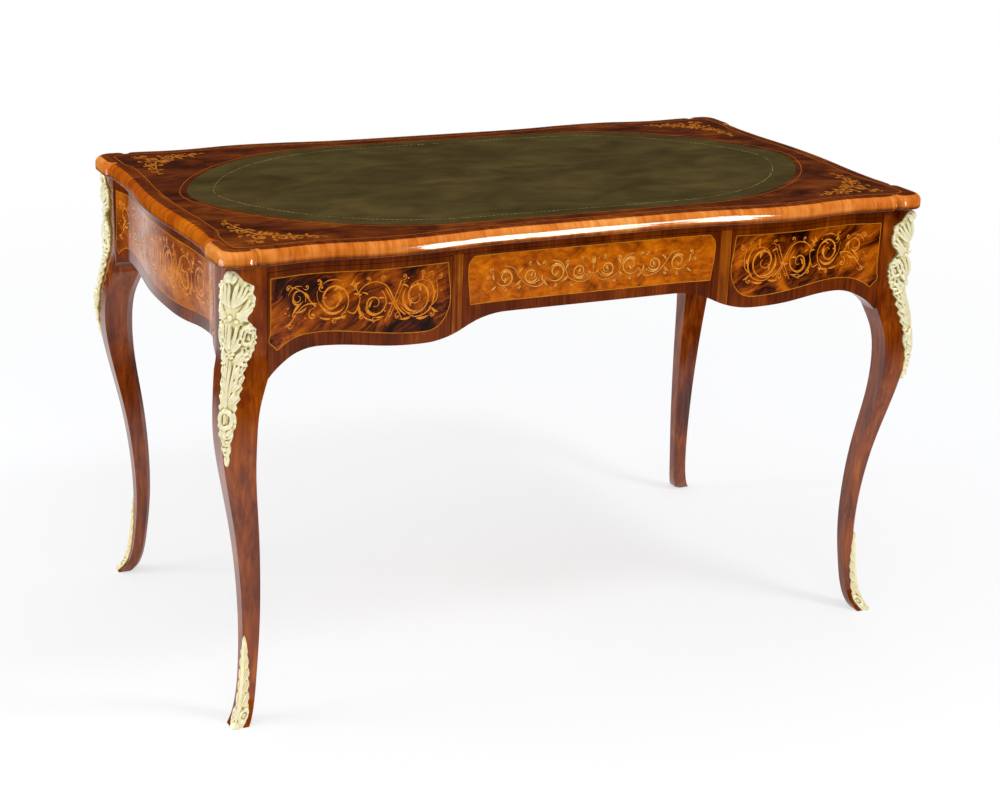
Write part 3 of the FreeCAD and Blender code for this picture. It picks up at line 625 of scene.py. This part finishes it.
def panel(name, edges, finish, side, node, body, slot):
    """A veneer panel between its lower, upper, left and right edges, with a boxwood line round it."""
    low, high = (along_edge(edges[key], COLUMNS + 1) for key in ("low", "high"))
    left, right = (along_edge(edges[key], ROWS + 1) for key in ("left", "right"))
    bpy.ops.mesh.primitive_grid_add(x_subdivisions=COLUMNS, y_subdivisions=ROWS, size=1)
    piece = bpy.context.object
    piece.name = name
    for vertex in piece.data.vertices:
        s, t = vertex.co.x + 0.5, vertex.co.y + 0.5
        i, j = round(s * COLUMNS), round(t * ROWS)
        spot = (1 - t) * low[i] + t * high[i] + (1 - s) * left[j] + s * right[j]
        spot -= (1 - s) * (1 - t) * low[0] + s * (1 - t) * low[-1] + (1 - s) * t * high[0] + s * t * high[-1]
        vertex.co = (spot[0] * MM, spot[1] * MM, VENEER_PROUD * MM)
    lay(piece, side, node)
    only(piece)
    bpy.ops.object.modifier_add(type="SOLIDIFY")
    piece.modifiers[-1].thickness = VENEER_THICK * MM
    piece.modifiers[-1].offset = -1
    bpy.ops.object.modifier_apply(modifier=piece.modifiers[-1].name)
    settle(piece, finish, body)
    ring = np.vstack([low[:-1], right[:-1], high[::-1][:-1], left[::-1][:-1]])
    line = [(p, q, LINE_HALF) for p, q in ring]
    inlay(name + "_line", [line], LINE_RISE, boxwood, side, node, body, "boxwood_line", closed=True)


print("a panel has", COLUMNS * ROWS, "faces on its front")

# %% [markdown]
# ## The outlines of the panels
# Each follows the shaped lower edge of its front. The right drawer has the left one's outline
# turned over, the two ends are alike, and the fixed rear repeats the front.

# %% Panels
SIDE_PANEL = {
    "low": [(-524, 605), (-508, 615), (-488, 622), (-455, 625), (-415, 623), (-372, 618), (-330, 613),
            (-292, 611), (-277, 613), (-264, 620), (-255, 632)],
    "high": [(-534, 714), (-393, 714), (-253, 714)],
    "left": [(-524, 605), (-530, 612), (-537, 619), (-535, 629), (-534, 650), (-534, 714)],
    "right": [(-255, 632), (-249, 648), (-248, 668), (-251, 692), (-253, 714)],
}


def even(low, left):
    """A panel whose right half mirrors the left: half of its lower edge, and its left edge."""
    right = [(-p, q) for p, q in left]
    return {"low": low + [(-p, q) for p, q in low[-2::-1]], "left": left, "right": right,
            "high": [left[-1], (0, left[-1][1]), right[-1]]}


def turned_over(edges):
    """The same panel, mirrored left to right."""
    flip = {key: [(-p, q) for p, q in line] for key, line in edges.items()}
    return {"low": flip["low"][::-1], "high": flip["high"][::-1], "left": flip["right"],
            "right": flip["left"]}


CENTRE_PANEL = even([(-212, 643), (0, 643)],
                    [(-212, 643), (-214, 660), (-217, 688), (-216, 707), (-207, 718)])
END_PANEL = even([(-252, 606), (-240, 616), (-222, 623), (-190, 623), (-140, 618), (-60, 612), (0, 611.5)],
                 [(-252, 606), (-258, 613), (-263, 620), (-260, 630), (-258, 650), (-257, 714)])
FRONTS = {key: (f"drawer_{key}_front", key + "_drawer") for key in ("left", "centre", "right")}
REAR = ("rear", "apron_rear", "table")
SHAPES = {
    "left": (SIDE_PANEL, side_walnut, "frieze_veneer"),
    "centre": (CENTRE_PANEL, centre_burr, "centre_veneer"),
    "right": (turned_over(SIDE_PANEL), side_walnut, "frieze_veneer"),
}
for key, (edges, finish, slot) in SHAPES.items():
    panel("panel_front_" + key, edges, finish, "front", *FRONTS[key], slot)
    panel("panel_rear_" + key, edges, finish, *REAR, slot)
for key in ("left", "right"):
    panel("panel_end_" + key, END_PANEL, end_burr, key, "apron_" + key, "table", "frieze_veneer")

# %% [markdown]
# ## Marquetry of the friezes
# Foliate scrollwork fills the panels. On the sides and the ends it is golden fruitwood: large
# volutes with leaves, straps and tendrils. It is drawn about its own middle and then moved.

# %% Scroll of the sides and the ends
FINER = 0.8
SIDE_SPREAD, SIDE_PLACE = (1.03, 1.12), (-392, 667)
END_SHIFT = (262, 0)
side_scroll = many(volute, [
    (-42, 5, 25, 300, 1.55, 1.7), (-42, 5, 27.5, 150, 0.55, 0.7), (18, -4, 20, 60, 1.5, 1.6, -1),
    (83, 1, 27, 210, 1.55, 1.7), (83, 1, 29.5, 30, 0.55, 0.7), (-95, 11, 13, 330, 1.3, 1.2),
]) + many(stem, [
    ([(-8, 9), (2, 21), (20, 26), (36, 19), (46, 3), (54, -12), (66, -23)], 1, 1.6),
    ([(34, -29), (45, -7), (59, 25)], 1.1, 1.1), ([(40, -27), (50, -7), (64, 23)], 0.6, 0.6),
    ([(60, -27), (48, -7), (34, 17)], 1.1, 1.1),
    ([(-116, -26), (-105, -19), (-95, -7), (-82, 1), (-67, 1)], 0.7, 1.7),
    ([(-113, 27), (-100, 25), (-86, 17), (-76, 5), (-68, -3)], 0.7, 1.4),
    ([(-22, -12), (-12, -15), (-6, -5), (-4, 7), (-10, 19)], 1.5, 0.8),
    ([(104, -17), (116, -7), (118, 9), (116, 21), (124, 30)], 1.3, 0.5),
    ([(66, -19), (80, -27), (96, -25), (108, -17)], 1, 1.4),
]) + many(leaf, [
    (-90, 3, 205, 20, 3.4, 40), (-82, -3, 230, 18, 3, -60), (-78, 9, 110, 14, 2.4, 50),
    (-44, -21, 350, 22, 2.8, 40), (-46, -21, 190, 18, 2.5, -40), (-32, 1, 70, 15, 3.6, 60),
    (-52, 9, 200, 10, 2, 40), (-42, 17, 20, 10, 2, 40), (-12, 19, 80, 12, 2.6, -70),
    (-6, -3, 270, 20, 3.2, 30), (-2, 9, 150, 12, 2.4, 40), (10, -9, 95, 12, 3, -60),
    (24, 3, 20, 10, 2.2, -40), (20, -23, 350, 14, 2.2, 30), (74, -27, 200, 18, 3, -30),
    (84, -30, 350, 20, 3.2, 30), (90, 7, 85, 16, 3.8, 60), (76, -3, 230, 11, 2.2, 50),
    (92, 23, 60, 12, 2.2, 60), (110, -3, 40, 12, 2.4, 50), (108, -17, 300, 14, 2.6, 50),
    (120, 23, 60, 9, 1.8, -40), (-64, 21, 40, 12, 2.2, 50), (46, -5, 180, 8, 2.2), (46, -5, 20, 9, 2.2),
    (-18, 23, 30, 11, 2.2, 50),
]) + many(curl, [
    (-72, -14, 9, 80, 1, 1.2), (-110, 25, 6, 0), (-108, -24, 6, 0, -1), (-13, 23, 6.5, 250),
    (108, -26, 7, 100, -1), (122, 25, 5, 200), (-59, 22, 6, 300, -1), (54, -24, 6, 60),
    (-3, -20, 6.5, 90, -1),
]) + many(bud, [
    (-115, -7, 1.5), (-111, -1, 1.6), (-109, -11, 1.3), (-84, -17, 1.4), (-28, 25, 1.5), (34, -15, 1.4),
    (70, 27, 1.5), (124, 5, 1.4),
]) + many(crescent, [
    (-42, 5, 19, 190, 330, 3.4), (83, 1, 21, 140, 290, 3.4), (18, -4, 15, 190, 330, 2.8),
    (-42, 5, 27, 60, 130, 1.8), (83, 1, 29, -50, 60, 2.2), (18, -4, 23, 200, 300, 1.8),
    (-95, 11, 9, 180, 330, 2.2), (-95, 11, 16, 60, 170, 1.4),
]) + many(curl, [
    (-82, 25, 5, 200), (-26, -19, 5.5, 60), (8, 30, 5, 250), (32, 31, 5, 250, -1), (40, -20, 5, 60, -1),
    (63, 30, 5.5, 250), (108, 29, 5, 200, -1), (-100, -12, 5, 60), (-42, -24, 5, 60, -1),
    (-64, 31, 4.5, 250), (18, -27, 5, 60), (92, 33, 5, 250),
]) + many(leaf, [
    (-28, 17, 130, 12, 2, 60), (70, 15, 130, 12, 2, 60), (8, 9, 130, 10, 1.8, 60),
])
left_scroll = redrawn(side_scroll, SIDE_SPREAD, SIDE_PLACE, FINER)
right_scroll = redrawn(left_scroll, MIRROR)
end_half = redrawn(left_scroll, move=END_SHIFT)
end_middle = redrawn([leaf(0, 650, 90, 34, 3.2), bud(0, 645, 2.4)], bold=FINER)
end_scroll = end_half + redrawn(end_half, MIRROR) + end_middle
print("side scroll:", len(left_scroll), "strokes")

# %% [markdown]
# ## The middle scroll
# This running scroll is pale boxwood. Its right half is drawn and then turned over. Scorched
# wood edges it, a little wider and lower, so that it stands out from the burr.

# %% Scroll of the middle, and laying
HALF_SPREAD, HALF_PLACE = (0.93, 0.92), (0, 679.24)
EDGING_MOVE, EDGING_WIDER = (0.3, -0.4), 0.55
MARQUETRY_RISE, SCORCH_RISE = 0.32, 0.2
half_scroll = many(volute, [
    (26, -1, 16, 200, 1.5, 1.3), (70, 2, 19, 340, 1.5, 1.4, -1), (116, -1, 16, 200, 1.5, 1.3),
    (164, 0, 17, 340, 1.5, 1.4, -1),
]) + many(stem, [
    ([(3, -11), (14, -19), (30, -19), (46, -11), (52, 1), (62, 17), (78, 22)], 0.7, 1),
    ([(88, -7), (98, -19), (112, -20), (128, -13), (140, 1), (150, 15), (166, 20)], 1, 0.8),
]) + many(leaf, [
    (48, -7, 300, 16, 2.2, 40), (52, 5, 100, 14, 2.2, 50), (94, -13, 60, 14, 2.2, 40),
    (92, -13, 250, 12, 2, -40), (136, -7, 300, 15, 2.2, 40), (140, 5, 110, 13, 2.2, 50),
    (184, -3, 50, 14, 2.2, 50), (182, -13, 300, 12, 2, 40), (26, -3, 80, 9, 2.4, 50),
    (70, 1, 260, 9, 2.6, 50), (116, -3, 80, 9, 2.4, 50), (164, -1, 260, 9, 2.6, 50),
    (0, 7, 66, 17, 1.9, 30), (4, -7, 20, 10, 1.8, 50), (100, 15, 30, 13, 1.8, 40),
]) + many(curl, [
    (48, 17, 5.5, 250), (94, 18, 5.5, 250, -1), (140, -19, 5, 60), (188, 15, 6, 250),
]) + many(bud, [
    (10, 19, 1.3), (56, -15, 1.3), (102, -11, 1.3), (150, -17, 1.3),
]) + many(crescent, [
    (26, -1, 11, 190, 330, 2.2), (70, 2, 13, 20, 160, 2.4), (116, -1, 11, 190, 330, 2.2),
    (164, 0, 12, 20, 160, 2.4),
]) + many(curl, [
    (20, 21, 4.5, 250), (118, 21, 4.5, 250), (72, -22, 4.5, 60), (164, -22, 4.5, 60),
    (40, -23, 4.5, 60, -1), (196, 1, 5, 200, -1),
])
half_scroll = redrawn(half_scroll, HALF_SPREAD, HALF_PLACE)
centre_scroll = half_scroll + redrawn(half_scroll, MIRROR) + [leaf(0, 679, 90, 21, 2.4), bud(0, 673, 2.0)]
edging = redrawn(centre_scroll, move=EDGING_MOVE, wider=EDGING_WIDER)
SCROLLS = {
    "left": (left_scroll, fruitwood), "centre": (centre_scroll, pale_box), "right": (right_scroll, fruitwood),
}
for key, (strokes, wood) in SCROLLS.items():
    inlay("marquetry_front_" + key, strokes, MARQUETRY_RISE, wood, "front", *FRONTS[key], "boxwood_line")
    inlay("marquetry_rear_" + key, strokes, MARQUETRY_RISE, wood, *REAR, "boxwood_line")
inlay("marquetry_front_edging", edging, SCORCH_RISE, scorched, "front", *FRONTS["centre"], "centre_veneer")
inlay("marquetry_rear_edging", edging, SCORCH_RISE, scorched, *REAR, "centre_veneer")
for key in ("left", "right"):
    inlay("marquetry_end_" + key, end_scroll, MARQUETRY_RISE, fruitwood, key, "apron_" + key, "table",
          "boxwood_line")

# %% [markdown]
# ## Sprays on the table top
# In each corner of the top, between the leather and the edge, lies a spray of the same
# scrollwork in darker fruitwood, with one arm along the long side and one along the end.

# %% Corner sprays
SPRAY_SPREAD, SPRAY_PLACE = (0.8, 1.0), (545, 240)
SPRAY_BOLD, SPRAY_RISE = 1.5, 0.25
ON_TOP = ("top", None, "table")
spray = many(volute, [
    (-21, 28, 17, 200, 1.5, 1.2), (-58, 39, 13, 330, 1.4, 1.1, -1), (-90, 46, 10.5, 200, 1.3, 1),
    (-117, 51, 8, 330, 1.2, 0.9, -1), (-4, -8, 13, 60, 1.4, 1.1, -1), (4, -37, 10, 250, 1.3, 1),
    (8, -60, 7.5, 60, 1.2, 0.9, -1),
]) + many(stem, [
    ([(-33, 15), (-47, 22), (-71, 30), (-93, 36), (-115, 42), (-139, 52)], 1.4, 0.4),
    ([(-33, 15), (-19, 6), (-11, -16), (-4, -36), (1, -58), (7, -80)], 1.4, 0.4),
    ([(-33, 15), (-15, 32), (1, 48), (15, 58)], 1.2, 0.4),
]) + many(leaf, [
    (-33, 16, 225, 20, 3), (-39, 18, 190, 18, 2.4, 40), (-29, 10, 260, 18, 2.4, -40),
    (-1, 44, 20, 16, 2.6, -40), (-5, 48, 90, 14, 2.4, 40), (-45, 28, 100, 16, 2.2, -50),
    (-75, 36, 95, 14, 2.2, 50), (-75, 30, 220, 14, 2.2, 40), (-105, 42, 110, 12, 2, 40),
    (-105, 38, 220, 12, 2, 40), (-11, 10, 10, 15, 2.2, 50), (-13, -18, 200, 14, 2.2, -40),
    (-2, -24, 20, 13, 2, 40), (-4, -48, 200, 12, 2, -40), (-131, 50, 150, 12, 1.8, 40),
    (5, -72, 250, 12, 1.8, -40), (-21, 26, 80, 10, 2.4, 50), (-4, -8, 260, 8, 2, 40),
]) + many(curl, [
    (-43, 50, 6, 250), (-73, 52, 5, 250, -1), (11, 18, 6, 200), (13, -20, 5, 200, -1), (-15, 54, 6, 250),
    (-57, 16, 5.5, 60), (-25, -10, 5.5, 30, -1),
]) + many(bud, [
    (-49, 8, 1.4), (-37, -2, 1.4), (-101, 56, 1.2), (17, -48, 1.2), (7, 60, 1.5),
])
spray = redrawn(spray, SPRAY_SPREAD, SPRAY_PLACE, SPRAY_BOLD)
front = redrawn(spray, (1, -1))
sprays = {"rear_right": spray, "rear_left": redrawn(spray, MIRROR), "front_right": front,
          "front_left": redrawn(front, MIRROR)}
for key, strokes in sprays.items():
    inlay("spray_" + key, strokes, SPRAY_RISE, spray_wood, *ON_TOP, "boxwood_line")

# %% [markdown]
# ## Lines round the leather
# A line of darker fruitwood runs round the leather, close to it along the sides and a finger's
# breadth away at the tips. On the leather a gilder's heated wheel has left a broken line of
# gold. Both are ovals of tangent arcs, so one function finds the arcs' centres.

# %% Lines round the leather
BORDER_OVAL = (560, 284, 112, 372)
TOOLED_OVAL = (505, 254, 108, 343)
SIDE_POINTS, SHOULDER_POINTS, TIP_POINTS = 40, 60, 40
DASH, DASH_GAP, DASH_HALF = 5.6, 1.8, 0.8
DASH_SHAPE = (0.5, 1.0, 0.5)
BORDER_RISE, GOLD_RISE = 0.15, 0.02


def quarter_oval(length, depth, tip, shoulder):
    """A quarter of an oval, from the middle of a long side to a tip."""
    tip_at = length - tip
    shoulder_up = depth - shoulder
    shoulder_at = tip_at - sqrt((shoulder - tip) ** 2 - shoulder_up ** 2)
    meet = atan2(-shoulder_up, tip_at - shoulder_at)
    line = [(x, depth) for x in np.linspace(0, shoulder_at, SIDE_POINTS)[:-1]]
    for a in np.linspace(pi / 2, meet, SHOULDER_POINTS):
        line.append((shoulder_at + shoulder * cos(a), shoulder_up + shoulder * sin(a)))
    for a in np.linspace(meet, 0, TIP_POINTS)[1:]:
        line.append((tip_at + tip * cos(a), tip * sin(a)))
    return line


def whole_oval(quarter):
    """The closed line of four mirrored quarters."""
    half = quarter + [(x, -y) for x, y in quarter[-2::-1]]
    return half + [(-x, y) for x, y in half[-2:0:-1]]


def dashes(quarter):
    """Short strokes all along an oval."""
    path = np.array(quarter)
    strokes = []
    for start in np.arange(DASH_GAP / 2, paced(path)[-1] - DASH, DASH + DASH_GAP):
        points = at_paces(path, np.linspace(start, start + DASH, len(DASH_SHAPE)))
        for sx in (1, -1):
            for sy in (1, -1):
                strokes.append([(sx * p, sy * q, DASH_HALF * k) for (p, q), k in zip(points, DASH_SHAPE)])
    return strokes


border = [(p, q, LINE_HALF) for p, q in whole_oval(quarter_oval(*BORDER_OVAL))]
inlay("leather_border_line", [border], BORDER_RISE, line_wood, *ON_TOP, "boxwood_line", closed=True)
inlay("leather_tooling", dashes(quarter_oval(*TOOLED_OVAL)), GOLD_RISE, gold_leaf, *ON_TOP, "leather")

# %% [markdown]
# ## Cast mounts
# The knees carry gilt mounts that wrap round the outer corner: a leaf that turns over at the
# top, shells, a cartouche with scrolls, a long serrated leaf and a pendant of husks. The feet
# stand in gilt shoes. Such a casting is modelled as relief on a sheet: each point rises by the
# highest of many lumps and rings. A place is u, from the corner, and z, over the floor.


# %% Forms of the relief
def lump(u, z, cu, cz, length, width, height, lean=0, groove=0.0):
    """An oval swelling, leaning outward by an angle, with a groove along its middle."""
    a = radians(lean)
    across = (u - cu) * cos(a) - (z - cz) * sin(a)
    down = (u - cu) * sin(a) + (z - cz) * cos(a)
    swell = np.sqrt(np.clip(1 - (across / width) ** 2 - (down / length) ** 2, 0, None))
    flutes = groove * np.cos(3 * pi * across / width) * (1 - (across / width) ** 2)
    return height * swell - np.where(swell > 0, np.clip(flutes, -0.5 * groove, groove) * swell, 0)


def hoop(u, z, cu, cz, wide, tall, thick, height):
    """A ring, round or oval."""
    reach = np.hypot((u - cu) / wide, (z - cz) / tall)
    off = (reach - 1) * min(wide, tall) / thick
    return height * np.sqrt(np.clip(1 - off ** 2, 0, None))


def flower(cu, cz, radius, height):
    """Five round petals about a bead."""
    size = 0.42 * radius
    petals = [(cu, cz, size, size, height + 0.8)]
    for a in np.radians(90 + 72 * np.arange(5)):
        u, z = cu + 0.62 * radius * cos(a), cz + 0.62 * radius * sin(a)
        petals.append((u, z, size, size, height))
    return petals


def fan(cu, cz, reach, first, last, count, width, height):
    """Flutes that spread from a point, as in a shell; angles lean outward from upright."""
    flutes = []
    for lean in np.linspace(first, last, count):
        a = radians(lean)
        flutes.append((cu + 0.5 * reach * sin(a), cz + 0.5 * reach * cos(a), 0.55 * reach, width,
                       height, lean))
    return flutes


print("a flower has", len(flower(0, 0, 5, 6)), "lumps")

# %% [markdown]
# ## From relief to casting
# Columns of the sheet run across the corner and rows run down it. The stations of a leg give
# the height, how far it stands out there and its width. One wing of a mount is narrower than
# the other. Rays seat the sheet on the leg, and a back sheet and a rim close it.

# %% Casting
STATIONS = [(0, -1, 27), (30, -18, 24), (80, -26, 23.5), (150, -29, 26), (410, 5, 44), (480, 14, 51.5),
            (525, 12, 55), (565, 5, 62), (600, 0, 58), (740, 0, 58)]
BLOCK_X, BLOCK_Y = 597, 330
CORNER_BEVEL = 0.2
CELLS = 72
WING, NARROW = 0.9, 0.68
CROWN_WIDE = 9
RIM_ROUND, RIM_LEFT = 2.2, 0.25
BLUR, HOLLOW_DEEP = (-3, 0, 3), 4.2
FOLD = 7
SEAT_DEPTH, SEAT_RAY = 0.8, 0.05
SMOOTH_UNDER = radians(60)


def raised(heights, half, mount):
    """Of each point: its distance from the corner, its rise and how it stands among its neighbours."""
    u = np.linspace(-1, 1, CELLS + 1)[None, :] * half[:, None]
    z = np.repeat(heights[:, None], CELLS + 1, axis=1)
    rise = np.full_like(u, mount["ground"])
    for form, key in ((lump, "lumps"), (hoop, "hoops")):
        for sizes in mount[key]:
            rise = np.maximum(rise, form(np.abs(u), z, *sizes))
    for pit in mount["pits"]:
        rise -= lump(np.abs(u), z, *pit)
    rise += mount["crown"] * np.exp(-(u / CROWN_WIDE) ** 2)
    inside = np.clip((half[:, None] - np.abs(u)) / RIM_ROUND, 0, 1)
    rise = rise * (RIM_LEFT + (1 - RIM_LEFT) * inside * (2 - inside))
    soft = sum(np.roll(np.roll(rise, i, 0), j, 1) for i in BLUR for j in BLUR) / len(BLUR) ** 2
    return u, rise, np.clip(0.5 + (rise - soft) / HOLLOW_DEEP, 0, 1)


def folded(s, bevel):
    """A sheet round a bevelled corner, s from its middle: for both faces, depth and way out."""
    slope = bevel / sqrt(2)
    if s < slope:
        a, b = bevel / 2 + s / sqrt(2), bevel / 2 - s / sqrt(2)
    else:
        a, b = bevel + s - slope, 0
    bend = min(1, max(0, (s - slope + FOLD) / (2 * FOLD)))
    turn = pi / 4 * (1 - bend * bend * (3 - 2 * bend))
    return (a, sin(turn)), (b, cos(turn))


def sheet_faces(rows, wide):
    """Faces of a front sheet, of a back sheet and of the rim between them."""
    grid = np.arange(rows * wide).reshape(rows, wide)
    quads = np.stack([grid[:-1, :-1], grid[:-1, 1:], grid[1:, 1:], grid[1:, :-1]], axis=2).reshape(-1, 4)
    faces = [q for front in quads for q in (front.tolist(), (front[::-1] + grid.size).tolist())]
    rim = np.concatenate([grid[0], grid[1:, -1], grid[-1, -2::-1], grid[-2:0:-1, 0]]).tolist()
    for here, there in zip(rim, rim[1:] + rim[:1]):
        faces.append((there, here, grid.size + here, grid.size + there))
    return faces


def casting(name, corner, leg, mount):
    """A mount that wraps the outer corner of a leg."""
    sx, sy = corner
    levels, widths = zip(*mount["outline"])
    heights = np.linspace(levels[0], levels[-1], mount["rows"])
    u, rise, relief = raised(heights, np.interp(heights, levels, widths), mount)
    up, stands, sizes = zip(*STATIONS)
    stand = np.interp(heights, up, stands)
    bevel = CORNER_BEVEL * np.interp(heights, up, sizes)
    front, back = [], []
    for i, height in enumerate(heights):
        for j in range(CELLS + 1):
            first = u[i, j] >= 0
            s = WING * abs(u[i, j]) * (1 if first == (sy < 0) else NARROW)
            (a, na), (b, nb) = folded(s, bevel[i])[::1 if first else -1]
            spot = Vector((sx * (BLOCK_X + stand[i] - a), sy * (BLOCK_Y + stand[i] - b), height)) * MM
            out = Vector((sx * na, sy * nb, 0))
            hit, where = nodes[leg].ray_cast(spot + out * SEAT_RAY, -out, distance=2 * SEAT_RAY)[:2]
            base = where if hit else spot
            front.append(base + out * float(rise[i, j]) * MM)
            back.append(base - out * SEAT_DEPTH * MM)
    mesh = bpy.data.meshes.new(name)
    mesh.from_pydata(front + back, [], sheet_faces(mount["rows"], CELLS + 1))
    stored = mesh.attributes.new("relief", "FLOAT", "POINT")
    stored.data.foreach_set("value", np.concatenate([relief.ravel(), np.zeros(len(back))]))
    piece = bpy.data.objects.new(name, mesh)
    bpy.context.collection.objects.link(piece)
    only(piece)
    bpy.ops.object.mode_set(mode="EDIT")
    bpy.ops.mesh.select_all(action="SELECT")
    bpy.ops.mesh.normals_make_consistent(inside=False)
    bpy.ops.object.mode_set(mode="OBJECT")
    bpy.ops.object.shade_smooth_by_angle(angle=SMOOTH_UNDER)
    print(name, "faces:", len(mesh.polygons))
    return settle(piece, gilt_brass, "table")


print("stations of a leg:", len(STATIONS))

# %% [markdown]
# ## The knee mounts and the shoes
# Each has an outline, lumps, rings, and pits that stand for openwork, drawn for one side of the
# corner and mirrored. A casting takes the place of the plain CAD mount.

# %% Knee mounts and shoes
KNEE = dict(rows=270, ground=3.4, crown=2.6, hoops=[
    (24, 634, 10.5, 13, 3, 8), (14, 603, 5, 5, 2.4, 8), (0, 513, 9, 13, 3.2, 7.8),
], outline=[
    (437, 0.6), (442, 3), (449, 4.6), (456, 4.2), (462, 7), (469, 8.2), (475, 7), (481, 10.5), (488, 12.5),
    (494, 11.5), (500, 15), (508, 17), (516, 16.5), (522, 13.5), (528, 17.5), (534, 14.5), (541, 21),
    (548, 17), (556, 23), (563, 18.5), (571, 25.5), (579, 20), (588, 28), (594, 26), (600, 33), (606, 34),
    (611, 39), (616, 37), (621, 42), (626, 39.5), (631, 43), (636, 40), (641, 42.5), (646, 37), (651, 33),
    (656, 27), (661, 25), (666, 29), (672, 36), (680, 40), (690, 40.5), (696, 36), (702, 39), (707, 38),
    (711, 30), (715, 21), (719, 18), (723, 14), (727, 11), (730.5, 6), (731.5, 2),
], lumps=[
    (0, 722, 10, 7, 12), (6.5, 719, 9, 4, 9.4, 18), (0, 696, 22, 3.4, 10.5),
    *fan(3, 676, 40, 12, 52, 4, 3.6, 8.4), (33, 704, 7, 5, 7, 48), (22, 712, 8, 4, 6.8, 40),
    *fan(9, 661, 33, 40, 100, 5, 4.2, 8.8), (37, 687, 6, 4, 6.6, 20), (39, 676, 5, 4, 6.4),
    (12, 667, 5, 3, 8, 30), (0, 661, 5, 4.4, 10), (8.5, 656, 3.2, 3.2, 8), (15.5, 657, 3, 3, 7.4),
    (22, 660, 2.8, 2.8, 7), (0, 632, 22, 4.8, 11.4), *fan(2, 606, 44, 10, 34, 3, 3, 8.8),
    (22, 637, 5, 3.6, 7.6, 20), (27, 629, 4.4, 3, 7.2, -30), *fan(18, 641, 24, 55, 100, 3, 3.2, 7.4),
    (33, 651, 5, 4, 7, 40), (38.5, 643, 3.4, 3.2, 6.6), (40.5, 636, 3, 3, 6.4), (41, 629, 3, 3, 6.4),
    (40, 622, 3, 3, 6.4), (37, 615.5, 3.2, 3.2, 6.4), (31.5, 610, 3.6, 3.4, 6.6), *flower(32, 620, 5, 6.4),
    *flower(0, 606, 7.5, 9.6), *fan(4, 596, 26, 40, 108, 4, 3.6, 7.8), (0, 562, 42, 4, 9.6),
    (5.5, 568, 36, 2.6, 7.8, 5), *fan(3, 568, 30, 24, 52, 3, 3.4, 7.2), *fan(3, 551, 28, 22, 50, 3, 3.2, 7),
    *fan(3, 534, 25, 20, 46, 3, 3, 6.6), (13, 530, 6, 4, 6.2, 30), (12.4, 515, 10, 3.2, 6.8, -6),
    (0, 514, 11, 3, 7.4), (13.4, 502, 5, 3.2, 6), *fan(1, 482, 22, 0, 46, 3, 3.2, 7.2),
    (11, 488, 5, 2.8, 5.6, 30), *flower(0, 478, 7, 6.8), (0, 466.5, 4.4, 3.8, 7), (5.2, 468, 4, 2.8, 5.8),
    (0, 459.5, 3.2, 3.2, 6.4), (0, 447, 10, 3.4, 6), (3.2, 450, 7, 1.8, 4.6, 10),
], pits=[
    (24, 634, 6, 3.4, 3), (14.5, 646, 4, 2, 3), (13, 626, 5, 2, 3.2), (32, 641, 3, 2, 3),
    (27, 614, 2.6, 3, 3.2), (20, 612, 2.4, 2.4, 3), (30, 664, 2.2, 3.4, 3), (27, 694, 2.4, 2, 2.6),
    (19, 596, 3, 1.8, 2.6), (14, 581, 3.4, 1.4, 2.6), (13, 565, 3.2, 1.3, 2.4), (12, 549, 3, 1.2, 2.2),
    (5.6, 512, 8, 1.6, 3), (4.5, 487, 2.4, 1.3, 2.4),
])
SABOT = dict(rows=140, ground=2.0, crown=1.2, hoops=[(12, 16, 7, 7.5, 2.8, 5)], outline=[
    (0.6, 17), (5, 19), (12, 21), (20, 20.5), (27, 16.5), (33, 13), (40, 15.5), (46, 14.5), (52, 11),
    (59, 13.5), (65, 12.5), (71, 9.5), (78, 11.5), (84, 10.5), (90, 8), (97, 9.5), (103, 8.5), (109, 6.5),
    (115, 7.5), (121, 6), (128, 5), (135, 3.2), (142, 0.6),
], lumps=[
    (0, 5, 5, 22, 3.8), (12, 16, 3.2, 3.2, 4.8), (0, 20, 16, 4, 6), (0, 70, 66, 3, 5.5),
    (7, 39, 13, 4.2, 4.6, 22, 1.5), (11, 41, 8, 3.4, 3.8, 40, 1.2), (6, 58, 12, 4, 4.4, 20, 1.5),
    (9.5, 60, 7.5, 3, 3.6, 40, 1.2), (5, 77, 12, 3.6, 4.2, 18, 1.5), (8, 79, 7, 2.8, 3.4, 38, 1),
    (4.4, 96, 11, 3.2, 4, 16, 1.2), (3.6, 114, 10, 2.8, 3.8, 14, 1), (18, 8, 5, 4, 4), (0, 132, 10, 3, 4.2),
], pits=[
    (12, 16, 1.8, 1.8, 1.0), (6, 26, 3, 1.6, 2), (8.5, 49, 2.4, 1.2, 1.6), (7, 68, 2.2, 1.1, 1.5),
    (6, 87, 2, 1, 1.4),
])
CORNERS = {"front_left": (-1, -1), "front_right": (1, -1), "rear_left": (-1, 1), "rear_right": (1, 1)}
for key, corner in CORNERS.items():
    mount = casting("gilt_knee_" + key, corner, "leg_" + key, KNEE)
    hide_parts("knee_mount_" + key)
    shoe = casting("gilt_sabot_" + key, corner, "leg_" + key, SABOT)
    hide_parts("sabot_" + key)
